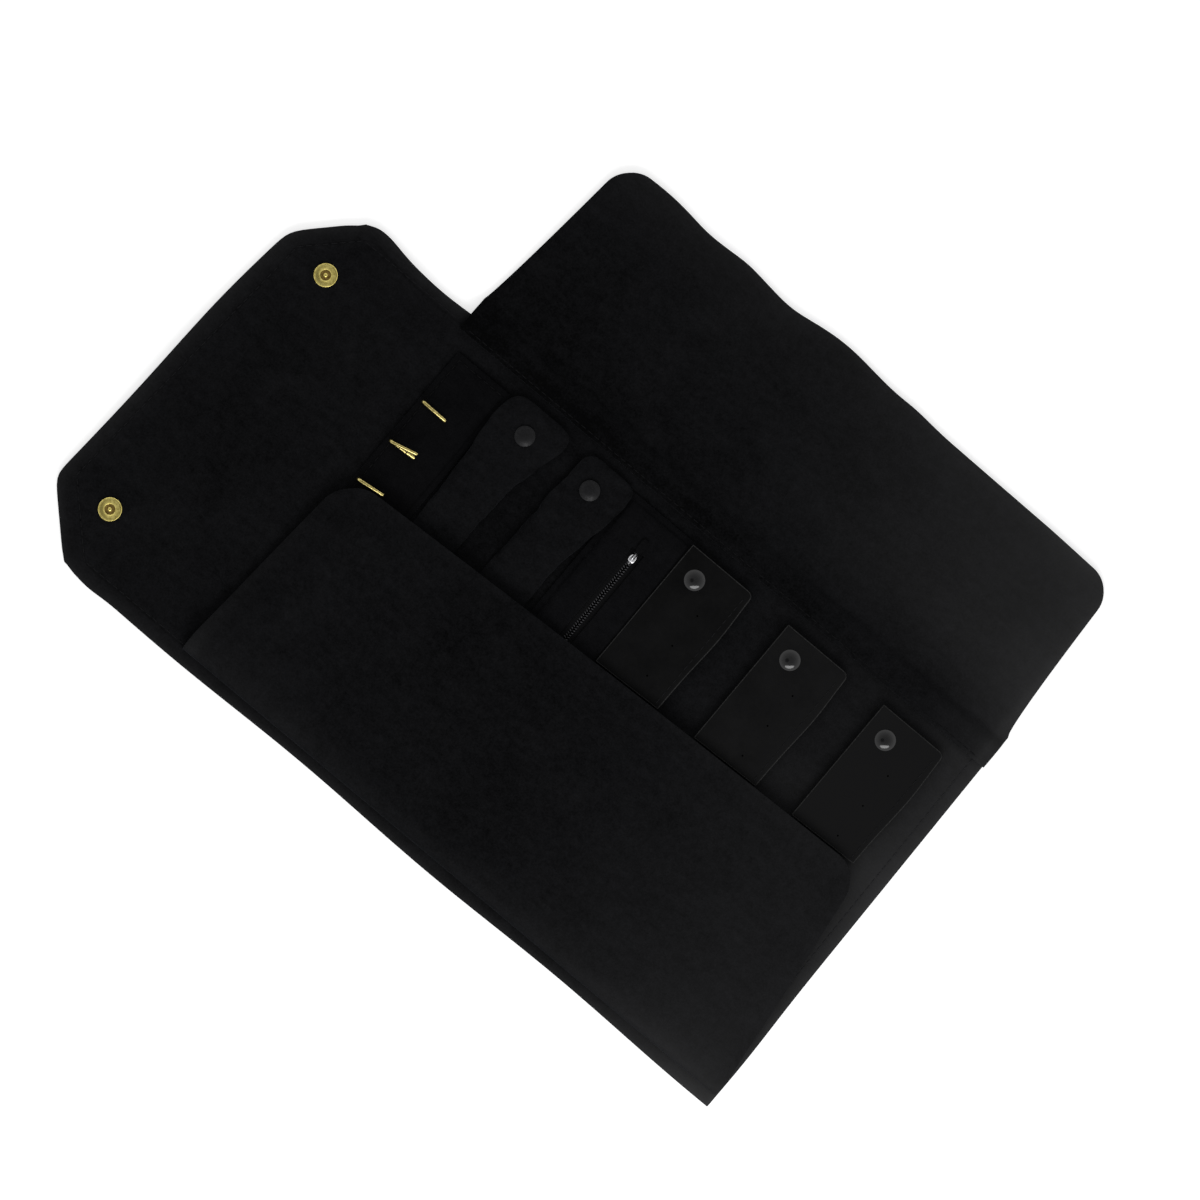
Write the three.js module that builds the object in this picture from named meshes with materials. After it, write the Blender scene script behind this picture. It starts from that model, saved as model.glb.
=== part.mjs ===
// A suede jewelry roll, opened out flat. One long shell is the panel and the closing flap. Two long flaps are
// sewn inside the panel's edges: the front one lies folded in, the back one lies open. The panel carries
// necklace hooks, ring bars, a zip pocket and earring leaves. Millimetres, +Z up, resting on Z = 0.
import * as THREE from "three";

// Suede layers of the panel
const SHELL_T = 1.6;
const LINING_T = 1.4;
const PANEL_WIDTH = 223;
const PANEL_CORNER = 3;
const HEM = 7.5; // from a long edge of the panel to the seam of the long flap beside it
const END_MARGIN = 20; // from the last leaf to the right end of the panel
const START_MARGIN = 8; // from the closing fold to the hook panel
const NEAR_SETBACK = 12; // from the front flap's seam to the pieces sewn on the panel
const SEW_GAP = 0.3; // between a moving layer and the fold strip that carries it

// Closing flap, left of the fold line
const FOLD_WIDTH = 16;
const CLOSING_REACH_NEAR = 95;
const CLOSING_REACH_FAR = 83;
const CLOSING_CUT_NEAR = 30;
const CLOSING_CUT_FAR = 24;
const CLOSING_ROUND = 5;
const CLOSING_SNAP_SIDE_NEAR = 35.6; // from a long edge to the nearest brass snap's centre
const CLOSING_SNAP_SIDE_FAR = 32.1;
const CLOSING_SNAP_INSET_NEAR = 29.6; // from the end edge to a brass snap's centre
const CLOSING_SNAP_INSET_FAR = 25.8;

// Long flaps, each two layers of suede
const FLAP_OUTER_T = 1.3;
const FLAP_LINING_T = 1.2;
const FLAP_ROUND = 13;
const ROOT_CLEARANCE = 1.8; // how far past the panel's edge an open flap's flat part starts
const FRONT_REACH_LEFT = 116; // from the seam to the free edge
const FRONT_REACH_RIGHT = 128.5;
const FRONT_CROWN = 2; // bow of the front flap's free edge
const FRONT_TAPER_LEFT = 5;
const FRONT_TAPER_RIGHT = 15;
const FRONT_CLEARANCE = 0.2; // between the zip slider and the closed front flap
const BACK_REACH_LEFT = 113;
const BACK_REACH_RIGHT = 106.5;
const BACK_TAPER_LEFT = 11;
const BACK_TAPER_RIGHT = 7;
const BACK_WAVE = 1.1;
const BACK_WAVES = 5;
const FLAP_END_GAP = 0.8;

// Necklace hooks on their panel
const HOOK_PANEL_W = 34;
const HOOK_PANEL_T = 1.2;
const HOOK_PANEL_SETBACK = 11.5;
const HOOKS = 3;
const HOOK_PITCH = 24.2;
const HOOK_LENGTH = 15.5;
const HOOK_WIRE = 1.8;
const HOOK_MOUTH = 2.2;
const HOOK_INSET = 1.6;
const HOOK_FROM_FLAP = 1.3;

// Ring bars
const BARS = 2;
const BAR_W = 26.5; // across the head
const BAR_WAIST_W = 24.6;
const BAR_END_W = 23.8;
const BAR_GAP_BEFORE = 4.2;
const BAR_GAP_BETWEEN = 14.8;
const BAR_SETBACK = 7;
const BAR_SNAP_FROM_END = 15.4;
const BAR_HEAD = 26;
const BAR_PAD_T = 5.6;
const BAR_ROOT_T = 2.4;
const BAR_FROM_FLAP = 4;
const BAR_FLOAT = 0.4; // between the bar and the lining
const TAIL_T = 1.6;

// Press snaps of the bars and leaves
const SNAP_CAP_R = 5.2;
const SNAP_CAP_H = 2.2;
const SNAP_SOCKET_R = 4.6;
const SNAP_SOCKET_H = 1.7;
const SNAP_STUD_R = 4.2;
const SNAP_STUD_FLANGE = 0.5;
const SNAP_NECK_R = 1.8;
const SNAP_NECK_H = 1.5;
const SNAP_CLEARANCE = 0.3;
const SNAP_SKIN_T = 1.5; // leather or suede between a cap and its socket

// Earring leaves
const LEAVES = 3;
const LEAF_W = 38.5;
const LEAF_GAP = 22.2;
const LEAF_GAP_BEFORE = 2.7;
const LEAF_SETBACK = 10;
const LEAF_ROUND = 2.8;
const LEAF_FROM_FLAP = 1.5;
const LEAF_SNAP_INSET = 11.8;
const LEAF_SNAP_FROM_END = 13;
const LEAF_MARGIN = 6; // sewn strip at the leaf's right edge, where it turns
const HOLE_R = 0.8;
const HOLE_INSET = 24;
const HOLE_FROM_FAR = 25.5;
const HOLE_PITCH = 19;

// Zip pocket
const ZIP_PANEL_W = 37;
const ZIP_PANEL_T = 1.2;
const ZIP_PANEL_GAP = 2.5;
const ZIP_PANEL_SETBACK = 9;
const ZIP_RIM = 5;
const ZIP_OFFSET = 21.5; // from the pocket panel's left edge to the zip
const ZIP_SLOT_W = 7.6;
const ZIP_SLOT_INSET = 21;
const TAPE_T = 0.6;
const TAPE_W = 7;
const COIL_W = 1.5;
const COIL_H = 1.6;
const COIL_GAP = 1;
const STOP_L = 2;
const SLIDER_L = 8;
const SLIDER_W = 6.8;
const SLIDER_PLATE = 0.8;
const SLIDER_CLEARANCE = 0.2;
const BRIDGE_W = 1;
const BRIDGE_L = 5.6;
const BRIDGE_BAR = 0.4;
const PULL_T = 0.6;
const PULL_W = 4;
const PULL_L = 11;
const PULL_CLEARANCE = 0.2;

// Brass snaps of the closing flap, and the studs they close on
const BRASS_R = 6.1;
const BRASS_FLANGE = 1; // height of the flat ring
const BRASS_RIM = 0.5; // raised edge of the ring, half its width
const BRASS_RIM_RISE = 0.3;
const BRASS_RING_W = 1.2;
const BRASS_WALL = 0.8; // wall round the sunk middle
const BRASS_WALL_H = 1.9;
const BRASS_FLOOR = 0.7;
const BRASS_POST_R = 1.5;
const BRASS_POST_H = 1.5;
const BRASS_STUD_R = 5;
const BRASS_STUD_FLANGE = 0.5;
const CAP_BEVEL = 0.5;
const DIMPLE_CLEARANCE = 0.5;

// Levels and lines that follow from the sizes. U runs along the panel from the closing fold line, V across it
// from its centre line.
const nearEdge = -PANEL_WIDTH / 2;
const farEdge = PANEL_WIDTH / 2;
const frontSeam = nearEdge + HEM;
const backSeam = farEdge - HEM;
const flapRoot = HEM + ROOT_CLEARANCE;
const foldHalf = FOLD_WIDTH / 2;
const liningTop = SHELL_T + LINING_T;
const contentNear = frontSeam + NEAR_SETBACK;

// Columns of the panel, each starting from the one before
const hookPanelStart = foldHalf + START_MARGIN;
const firstBarStart = hookPanelStart + HOOK_PANEL_W + BAR_GAP_BEFORE;
const barPitch = BAR_W + BAR_GAP_BETWEEN;
const zipPanelStart = firstBarStart + (BARS - 1) * barPitch + BAR_W + ZIP_PANEL_GAP;
const zipU = zipPanelStart + ZIP_OFFSET;
const firstLeafStart = zipPanelStart + ZIP_PANEL_W + LEAF_GAP_BEFORE;
const leafPitch = LEAF_W + LEAF_GAP;
const panelEnd = firstLeafStart + (LEAVES - 1) * leafPitch + LEAF_W + END_MARGIN;

// Heights of the snaps, from the lining up
const studTop = liningTop + SNAP_STUD_FLANGE + SNAP_NECK_H;
const socketBottom = liningTop + SNAP_STUD_FLANGE + SNAP_CLEARANCE;
const skinBottom = socketBottom + SNAP_SOCKET_H;
const skinTop = skinBottom + SNAP_SKIN_T;

// Heights of the zip, from the lining up
const sliderBottom = liningTop + PULL_CLEARANCE;
const coilBottom = sliderBottom + SLIDER_PLATE + SLIDER_CLEARANCE;
const coilTop = coilBottom + COIL_H;
const tapeTop = coilBottom + COIL_H / 2 + TAPE_T / 2;
const zipPanelTop = tapeTop + ZIP_PANEL_T;
const sliderTop = coilTop + SLIDER_CLEARANCE + SLIDER_PLATE;
const pullBottom = sliderTop + PULL_CLEARANCE;
const bridgeTop = pullBottom + PULL_T + PULL_CLEARANCE + BRIDGE_BAR;

// The closed front flap lies just over the zip slider's bridge.
const frontBottom = bridgeTop + FRONT_CLEARANCE;
const flapT = FLAP_OUTER_T + FLAP_LINING_T;
const flapStart = foldHalf + FLAP_END_GAP;
const flapEnd = panelEnd - FLAP_END_GAP;

const pouch = new THREE.Group();

function suede(color) {
  return new THREE.MeshStandardMaterial({ color, roughness: 0.95, metalness: 0 });
}

function leather(color) {
  return new THREE.MeshStandardMaterial({ color, roughness: 0.6, metalness: 0 });
}

function metal(color, roughness) {
  return new THREE.MeshStandardMaterial({ color, roughness, metalness: 1 });
}

function add(name, geometry, material) {
  const piece = new THREE.Mesh(geometry, material);
  piece.name = name;
  pouch.add(piece);
  return piece;
}

// A flat layer of an outline, lying between two heights.
function layer(shape, bottom, top) {
  const depth = top - bottom;
  const plate = new THREE.ExtrudeGeometry(shape, { depth, bevelEnabled: false, curveSegments: 6 });
  return plate.translate(0, 0, bottom);
}

function block(u0, u1, v0, v1, z0, z1) {
  const box = new THREE.BoxGeometry(u1 - u0, v1 - v0, z1 - z0);
  return box.translate((u0 + u1) / 2, (v0 + v1) / 2, (z0 + z1) / 2);
}

function rectangle(u0, u1, v0, v1) {
  return new THREE.Shape([
    new THREE.Vector2(u0, v0),
    new THREE.Vector2(u1, v0),
    new THREE.Vector2(u1, v1),
    new THREE.Vector2(u0, v1),
  ]);
}

function roundHole(u, v, radius) {
  return new THREE.Path().absarc(u, v, radius, 0, 2 * Math.PI, true);
}

// A section across the panel, drawn in V and Z, run along U.
function strip(section, u0, u1) {
  const shape = new THREE.Shape(section.map(([v, z]) => new THREE.Vector2(v, z)));
  const run = new THREE.ExtrudeGeometry(shape, { depth: u1 - u0, bevelEnabled: false });
  const alongV = new THREE.Vector3(0, 1, 0);
  const alongZ = new THREE.Vector3(0, 0, 1);
  const alongU = new THREE.Vector3(1, 0, 0);
  run.applyMatrix4(new THREE.Matrix4().makeBasis(alongV, alongZ, alongU));
  return run.translate(u0, 0, 0);
}

// A turned piece standing on height z, from [radius, height] points.
function turned(profile, u, v, z) {
  const points = profile.map(([radius, height]) => new THREE.Vector2(radius, height));
  const lathe = new THREE.LatheGeometry(points, 20);
  return lathe.rotateX(Math.PI / 2).translate(u, v, z);
}

// A closed skin over rings of points, with flat ends.
function loft(rings) {
  const count = rings[0].length;
  const index = [];
  for (let ring = 0; ring + 1 < rings.length; ring++) {
    for (let i = 0; i < count; i++) {
      const a = ring * count + i;
      const b = ring * count + ((i + 1) % count);
      index.push(a, b, b + count, a, b + count, a + count);
    }
  }
  const last = (rings.length - 1) * count;
  for (let i = 1; i + 1 < count; i++) {
    index.push(0, i + 1, i);
    index.push(last, last + i, last + i + 1);
  }
  const geometry = new THREE.BufferGeometry();
  geometry.setAttribute("position", new THREE.Float32BufferAttribute(rings.flat(2), 3));
  geometry.setIndex(index);
  return geometry;
}

// An outline with each corner rounded by up to the given distance.
function rounded(corners, cut) {
  const shape = new THREE.Shape();
  corners.forEach((corner, i) => {
    const before = corners.at(i - 1);
    const after = corners[(i + 1) % corners.length];
    const inLength = Math.min(cut, corner.distanceTo(before) / 3);
    const outLength = Math.min(cut, corner.distanceTo(after) / 3);
    const start = corner.clone().lerp(before, inLength / corner.distanceTo(before));
    const end = corner.clone().lerp(after, outLength / corner.distanceTo(after));
    if (i === 0) {
      shape.moveTo(start.x, start.y);
    } else {
      shape.lineTo(start.x, start.y);
    }
    shape.quadraticCurveTo(corner.x, corner.y, end.x, end.y);
  });
  shape.closePath();
  return shape;
}

// The front flap's free edge across the panel, at a place along it
function frontFreeEdge(u) {
  const share = (u - flapStart) / (flapEnd - flapStart);
  const straight = frontSeam + THREE.MathUtils.lerp(FRONT_REACH_LEFT, FRONT_REACH_RIGHT, share);
  return straight + 4 * FRONT_CROWN * share * (1 - share);
}

// The back flap's free edge, a little wavy as soft suede lies
function backFreeEdge(u) {
  const share = (u - flapStart) / (flapEnd - flapStart);
  const straight = backSeam + THREE.MathUtils.lerp(BACK_REACH_LEFT, BACK_REACH_RIGHT, share);
  const wave = BACK_WAVE * Math.sin(2 * Math.PI * BACK_WAVES * share);
  return straight - BACK_WAVE + wave;
}

// A long flap's outline from its root line out to a free edge, with round corners
function longFlap(root, freeEdge, taperLeft, taperRight) {
  const left = flapStart + taperLeft;
  const right = flapEnd - taperRight;
  const stepsAlong = 40;
  const shape = new THREE.Shape();
  shape.moveTo(flapStart, root);
  shape.lineTo(flapEnd, root);
  const lowRight = freeEdge(right) - FLAP_ROUND;
  shape.lineTo(right, lowRight);
  shape.quadraticCurveTo(right, freeEdge(right), right - FLAP_ROUND, freeEdge(right - FLAP_ROUND));
  for (let i = 1; i < stepsAlong; i++) {
    const u = THREE.MathUtils.lerp(right - FLAP_ROUND, left + FLAP_ROUND, i / stepsAlong);
    shape.lineTo(u, freeEdge(u));
  }
  shape.lineTo(left + FLAP_ROUND, freeEdge(left + FLAP_ROUND));
  shape.quadraticCurveTo(left, freeEdge(left), left, freeEdge(left) - FLAP_ROUND);
  shape.closePath();
  return shape;
}

// The brass snaps are placed from the long edges and from the slanted end edge.
function closingEnd(v) {
  const near = nearEdge + CLOSING_CUT_NEAR;
  const far = farEdge - CLOSING_CUT_FAR;
  return -THREE.MathUtils.mapLinear(v, near, far, CLOSING_REACH_NEAR, CLOSING_REACH_FAR);
}

const closingSnaps = [
  { v: nearEdge + CLOSING_SNAP_SIDE_NEAR, inset: CLOSING_SNAP_INSET_NEAR },
  { v: farEdge - CLOSING_SNAP_SIDE_FAR, inset: CLOSING_SNAP_INSET_FAR },
].map(({ v, inset }) => ({ u: closingEnd(v) + inset, v }));

// Folded in three, the brass snaps come down on the outside of the middle third.
const closingStuds = closingSnaps.map(({ u, v }) => ({ u: (2 * panelEnd) / 3 + u, v }));

function buildPanel() {
  const corners = [
    new THREE.Vector2(foldHalf, nearEdge),
    new THREE.Vector2(panelEnd, nearEdge),
    new THREE.Vector2(panelEnd, farEdge),
    new THREE.Vector2(foldHalf, farEdge),
  ];
  const shell = rounded(corners, PANEL_CORNER);
  closingStuds.forEach(({ u, v }) => shell.holes.push(roundHole(u, v, BRASS_STUD_R + DIMPLE_CLEARANCE)));
  add("shell_panel", layer(shell, 0, SHELL_T), suede(0x0e0f12));
  add("lining_panel", layer(rounded(corners, PANEL_CORNER), SHELL_T, liningTop), suede(0x0d0d10));
}

function buildClosingFlap() {
  const root = -foldHalf;
  const corners = [
    new THREE.Vector2(root, farEdge),
    new THREE.Vector2(CLOSING_CUT_FAR - CLOSING_REACH_FAR, farEdge),
    new THREE.Vector2(-CLOSING_REACH_FAR, farEdge - CLOSING_CUT_FAR),
    new THREE.Vector2(-CLOSING_REACH_NEAR, nearEdge + CLOSING_CUT_NEAR),
    new THREE.Vector2(CLOSING_CUT_NEAR - CLOSING_REACH_NEAR, nearEdge),
    new THREE.Vector2(root, nearEdge),
  ];
  const shell = rounded(corners, CLOSING_ROUND);
  closingSnaps.forEach(({ u, v }) => shell.holes.push(roundHole(u, v, BRASS_R + DIMPLE_CLEARANCE)));
  add("closing_flap_shell", layer(shell, 0, SHELL_T), suede(0x0e0f12));
  add("closing_flap_lining", layer(rounded(corners, CLOSING_ROUND), SHELL_T, liningTop), suede(0x0d0d10));
  const foldEdge = foldHalf - SEW_GAP;
  add("closing_fold", block(-foldEdge, foldEdge, nearEdge, farEdge, 0, liningTop), suede(0x0e0f12));
}

// Brass sockets on the closing flap's inside, their caps in the shell, and the studs on the panel's outside
function buildClosingSnaps() {
  const capH = SHELL_T - SNAP_CLEARANCE;
  const wallOuter = BRASS_R - 2 * BRASS_RIM - BRASS_RING_W;
  const wallInner = wallOuter - BRASS_WALL;
  const socket = [
    [0, 0],
    [BRASS_R, 0],
    [BRASS_R, BRASS_FLANGE],
    [BRASS_R - BRASS_RIM, BRASS_FLANGE + BRASS_RIM_RISE],
    [BRASS_R - 2 * BRASS_RIM, BRASS_FLANGE],
    [wallOuter, BRASS_FLANGE],
    [wallOuter, BRASS_WALL_H],
    [wallInner, BRASS_WALL_H],
    [wallInner, BRASS_FLOOR],
    [BRASS_POST_R, BRASS_FLOOR],
    [BRASS_POST_R, BRASS_POST_H],
    [0, BRASS_POST_H],
  ];
  const cap = [
    [0, 0],
    [BRASS_R - CAP_BEVEL, 0],
    [BRASS_R, CAP_BEVEL],
    [BRASS_R, capH],
    [0, capH],
  ];
  const stud = [
    [0, 0],
    [SNAP_NECK_R, 0],
    [SNAP_NECK_R, capH - BRASS_STUD_FLANGE],
    [BRASS_STUD_R, capH - BRASS_STUD_FLANGE],
    [BRASS_STUD_R, capH],
    [0, capH],
  ];
  closingSnaps.forEach(({ u, v }, i) => {
    add(`closing_socket_${i + 1}`, turned(socket, u, v, liningTop), metal(0xd9bd62, 0.3));
    add(`closing_cap_${i + 1}`, turned(cap, u, v, SNAP_CLEARANCE), metal(0x17181b, 0.35));
  });
  closingStuds.forEach(({ u, v }, i) => {
    add(`closing_stud_${i + 1}`, turned(stud, u, v, SNAP_CLEARANCE), metal(0xd9bd62, 0.3));
  });
}

function buildFrontFlap() {
  const outline = longFlap(frontSeam + flapRoot, frontFreeEdge, FRONT_TAPER_LEFT, FRONT_TAPER_RIGHT);
  const between = frontBottom + FLAP_LINING_T;
  const top = frontBottom + flapT;
  add("front_flap_lining", layer(outline, frontBottom, between), suede(0x0d0d10));
  add("front_flap_outer", layer(outline, between, top), suede(0x101114));
  const edge = frontSeam + flapRoot - SEW_GAP;
  const section = [
    [frontSeam - flapT / 2, liningTop],
    [frontSeam + flapT / 2, liningTop],
    [frontSeam + flapT / 2, frontBottom - flapT],
    [frontSeam + flapT, frontBottom - flapT / 2],
    [edge, frontBottom],
    [edge, top],
    [frontSeam + flapT, top - flapT / 4],
    [frontSeam - flapT / 4, frontBottom],
    [frontSeam - flapT / 2, frontBottom - flapT],
  ];
  add("front_fold", strip(section, flapStart, flapEnd), suede(0x101114));
}

function buildBackFlap() {
  const outline = longFlap(backSeam + flapRoot, backFreeEdge, BACK_TAPER_LEFT, BACK_TAPER_RIGHT);
  add("back_flap_outer", layer(outline, 0, FLAP_OUTER_T), suede(0x0e0f12));
  add("back_flap_lining", layer(outline, FLAP_OUTER_T, flapT), suede(0x111216));
  const edge = backSeam + flapRoot - SEW_GAP;
  const section = [
    [backSeam - flapT, liningTop],
    [farEdge + SEW_GAP, liningTop],
    [farEdge + SEW_GAP, SEW_GAP],
    [edge, SEW_GAP],
    [edge, flapT],
    [farEdge, liningTop + flapT * 0.7],
    [backSeam, liningTop + flapT],
    [backSeam - flapT, liningTop + flapT / 2],
  ];
  add("back_fold", strip(section, flapStart, flapEnd), suede(0x0e0f12));
}

// Each hook is a hairpin of wire: its lower leg lies on the panel, its upper leg is free at the right.
function buildHooks() {
  const far = backSeam - HOOK_PANEL_SETBACK;
  const end = hookPanelStart + HOOK_PANEL_W;
  const top = liningTop + HOOK_PANEL_T;
  add("hook_panel", layer(rectangle(hookPanelStart, end, contentNear, far), liningTop, top), suede(0x0a0a0c));
  const radius = HOOK_WIRE / 2;
  const legs = HOOK_WIRE + HOOK_MOUTH;
  const wire = new THREE.Shape().absarc(0, 0, radius, 0, 2 * Math.PI);
  const bendU = hookPanelStart + HOOK_INSET + radius + legs / 2;
  const tipU = hookPanelStart + HOOK_INSET + HOOK_LENGTH;
  const lowZ = top + radius;
  for (let i = 0; i < HOOKS; i++) {
    const v = frontFreeEdge(tipU) + HOOK_FROM_FLAP + i * HOOK_PITCH;
    const path = new THREE.CurvePath();
    const lowTip = new THREE.Vector3(tipU, v, lowZ);
    const lowBend = new THREE.Vector3(bendU, v, lowZ);
    const highBend = new THREE.Vector3(bendU, v, lowZ + legs);
    const highTip = new THREE.Vector3(tipU - HOOK_WIRE, v, lowZ + legs);
    const pull = new THREE.Vector3((-2 / 3) * legs, 0, 0);
    path.add(new THREE.LineCurve3(lowTip, lowBend));
    path.add(new THREE.CubicBezierCurve3(lowBend, lowBend.clone().add(pull), highBend.clone().add(pull), highBend));
    path.add(new THREE.LineCurve3(highBend, highTip));
    const geometry = new THREE.ExtrudeGeometry(wire, { steps: 24, extrudePath: path, curveSegments: 5 });
    add(`hook_${i + 1}`, geometry, metal(0xdcc06a, 0.28));
  }
}

// The three parts of a press snap: a stud on the lining, a socket under the skin that it holds, a cap on top
function addSnap(name, u, v) {
  const stud = [
    [0, 0],
    [SNAP_STUD_R, 0],
    [SNAP_STUD_R, SNAP_STUD_FLANGE],
    [SNAP_NECK_R, SNAP_STUD_FLANGE],
    [SNAP_NECK_R, studTop - liningTop],
    [0, studTop - liningTop],
  ];
  const bore = SNAP_NECK_R + SNAP_CLEARANCE;
  const socket = [
    [bore, 0],
    [SNAP_SOCKET_R, 0],
    [SNAP_SOCKET_R, SNAP_SOCKET_H],
    [bore, SNAP_SOCKET_H],
    [bore, 0],
  ];
  const cap = [
    [0, 0],
    [SNAP_CAP_R, 0],
    [SNAP_CAP_R, SNAP_CAP_H * 0.35],
    [SNAP_CAP_R * 0.85, SNAP_CAP_H * 0.7],
    [SNAP_CAP_R * 0.45, SNAP_CAP_H * 0.95],
    [0, SNAP_CAP_H],
  ];
  add(`${name}_stud`, turned(stud, u, v, liningTop), metal(0x4a4b4f, 0.4));
  add(`${name}_socket`, turned(socket, u, v, socketBottom), metal(0x4a4b4f, 0.4));
  add(`${name}_cap`, turned(cap, u, v, skinTop), metal(0x15161a, 0.25));
}

// One ring of a padded bar at V: a flattened round, wider than it is thick
function barRing(u, v, halfWidth, middle, halfThickness) {
  const sides = 16;
  return Array.from({ length: sides }, (_, i) => {
    const angle = (-2 * Math.PI * i) / sides;
    const across = Math.sign(Math.cos(angle)) * Math.sqrt(Math.abs(Math.cos(angle)));
    const up = Math.sign(Math.sin(angle)) * Math.sqrt(Math.abs(Math.sin(angle)));
    return [u + halfWidth * across, v, middle + halfThickness * up];
  });
}

function buildRingBars() {
  const far = backSeam - BAR_SETBACK;
  const floor = liningTop + BAR_FLOAT;
  const half = BAR_W / 2;
  const waist = BAR_WAIST_W / 2;
  const end = BAR_END_W / 2;
  const headMiddle = (skinBottom + skinTop) / 2;
  const headHalf = SNAP_SKIN_T / 2;
  const padMiddle = floor + BAR_PAD_T / 2;
  const padHalf = BAR_PAD_T / 2;
  for (let i = 0; i < BARS; i++) {
    const name = `ring_bar_${i + 1}`;
    const middleU = firstBarStart + i * barPitch + half;
    const root = frontFreeEdge(middleU + half) + BAR_FROM_FLAP;
    const headStart = far - BAR_HEAD;
    const padStart = THREE.MathUtils.lerp(root, headStart, 1 / 4);
    const padEnd = THREE.MathUtils.lerp(root, headStart, 3 / 4);
    const rings = [
      barRing(middleU, root, end, floor + BAR_ROOT_T / 2, BAR_ROOT_T / 2),
      barRing(middleU, padStart, waist, padMiddle, padHalf),
      barRing(middleU, padEnd, waist, padMiddle, padHalf),
      barRing(middleU, headStart, waist, headMiddle, headHalf),
      barRing(middleU, far - BAR_HEAD / 4, half, headMiddle, headHalf),
      barRing(middleU, far, end, headMiddle, headHalf),
    ];
    add(name, loft(rings), suede(0x0f1013));
    addSnap(name, middleU, far - BAR_SNAP_FROM_END);
    const tail = rectangle(middleU - end, middleU + end, contentNear, root - BAR_ROOT_T);
    add(`${name}_tail`, layer(tail, liningTop, liningTop + TAIL_T), suede(0x0f1013));
  }
}

// A pocket panel held up by its sewn rim, slotted for the zip, with the tapes under the slot's edges
function buildZipPocket() {
  const start = zipPanelStart;
  const end = zipPanelStart + ZIP_PANEL_W;
  const far = backSeam - ZIP_PANEL_SETBACK;
  const slotNear = contentNear + ZIP_SLOT_INSET;
  const slotFar = far - ZIP_SLOT_INSET;
  const slotHalf = ZIP_SLOT_W / 2;
  const panel = rectangle(start, end, contentNear, far);
  panel.holes.push(rectangle(zipU - slotHalf, zipU + slotHalf, slotNear, slotFar));
  add("zip_panel", layer(panel, tapeTop, zipPanelTop), suede(0x0c0c0f));
  const rim = rectangle(start, end, contentNear, far);
  rim.holes.push(rectangle(start + ZIP_RIM, end - ZIP_RIM, contentNear + ZIP_RIM, far - ZIP_RIM));
  add("zip_panel_rim", layer(rim, liningTop, tapeTop), suede(0x0c0c0f));

  const coilInner = COIL_GAP / 2;
  const coilOuter = coilInner + COIL_W;
  [-1, 1].forEach((side) => {
    const name = side < 0 ? "left" : "right";
    const [coil0, coil1] = [zipU + side * coilInner, zipU + side * coilOuter].sort((a, b) => a - b);
    const tapeEnd = zipU + side * (coilOuter + TAPE_W);
    const [tape0, tape1] = [zipU + side * coilOuter, tapeEnd].sort((a, b) => a - b);
    const tape = block(tape0, tape1, slotNear - STOP_L, slotFar + STOP_L, tapeTop - TAPE_T, tapeTop);
    add(`zip_tape_${name}`, tape, suede(0x141416));
    add(`zip_coil_${name}`, block(coil0, coil1, slotNear, slotFar, coilBottom, coilTop), leather(0x2a2a2d));
  });
  const stopHalf = coilOuter;
  const topStop = block(zipU - stopHalf, zipU + stopHalf, slotFar, slotFar + STOP_L, coilBottom, tapeTop);
  const bottomStop = block(zipU - stopHalf, zipU + stopHalf, slotNear - STOP_L, slotNear, coilBottom, tapeTop);
  add("zip_top_stop", topStop, metal(0x8c8d90, 0.35));
  add("zip_bottom_stop", bottomStop, metal(0x8c8d90, 0.35));
  buildSlider(slotFar - SLIDER_L / 2);
}

// The slider's two plates grip the coils and are joined by a neck between them. A bridge on top holds the pull.
function buildSlider(v) {
  const half = SLIDER_W / 2;
  const v0 = v - SLIDER_L / 2;
  const v1 = v + SLIDER_L / 2 - SLIDER_CLEARANCE;
  const neck = COIL_GAP / 2 - SLIDER_CLEARANCE;
  const plateTop = sliderTop - SLIDER_PLATE;
  const lowTop = sliderBottom + SLIDER_PLATE;
  const section = [
    [-half, sliderBottom],
    [half, sliderBottom],
    [half, lowTop],
    [neck, lowTop],
    [neck, plateTop],
    [half, plateTop],
    [half, sliderTop],
    [-half, sliderTop],
    [-half, plateTop],
    [-neck, plateTop],
    [-neck, lowTop],
    [-half, lowTop],
  ];
  const body = new THREE.Shape(section.map(([u, z]) => new THREE.Vector2(u, z)));
  const run = new THREE.ExtrudeGeometry(body, { depth: v1 - v0, bevelEnabled: false });
  run.rotateX(Math.PI / 2).translate(zipU, v1, 0);
  add("zip_slider", run, metal(0xc9cacd, 0.22));

  const post = BRIDGE_L / 2 - BRIDGE_W;
  const under = bridgeTop - BRIDGE_BAR;
  const bridge = [
    [v - BRIDGE_L / 2, sliderTop],
    [v - post, sliderTop],
    [v - post, under],
    [v + post, under],
    [v + post, sliderTop],
    [v + BRIDGE_L / 2, sliderTop],
    [v + BRIDGE_L / 2, bridgeTop],
    [v - BRIDGE_L / 2, bridgeTop],
  ];
  add("zip_bridge", strip(bridge, zipU - BRIDGE_W / 2, zipU + BRIDGE_W / 2), metal(0xc9cacd, 0.22));

  const pivotBar = PULL_T / 2;
  const eyeHalf = BRIDGE_W / 2 + PULL_CLEARANCE * 2;
  const eyeEnd = v + BRIDGE_L / 2 + PULL_CLEARANCE * 2;
  const pull = rectangle(zipU - PULL_W / 2, zipU + PULL_W / 2, v - pivotBar, v + PULL_L);
  pull.holes.push(rectangle(zipU - eyeHalf, zipU + eyeHalf, v + pivotBar, eyeEnd));
  add("zip_pull", layer(pull, pullBottom, pullBottom + PULL_T), metal(0x2c2d30, 0.35));
}

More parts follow.
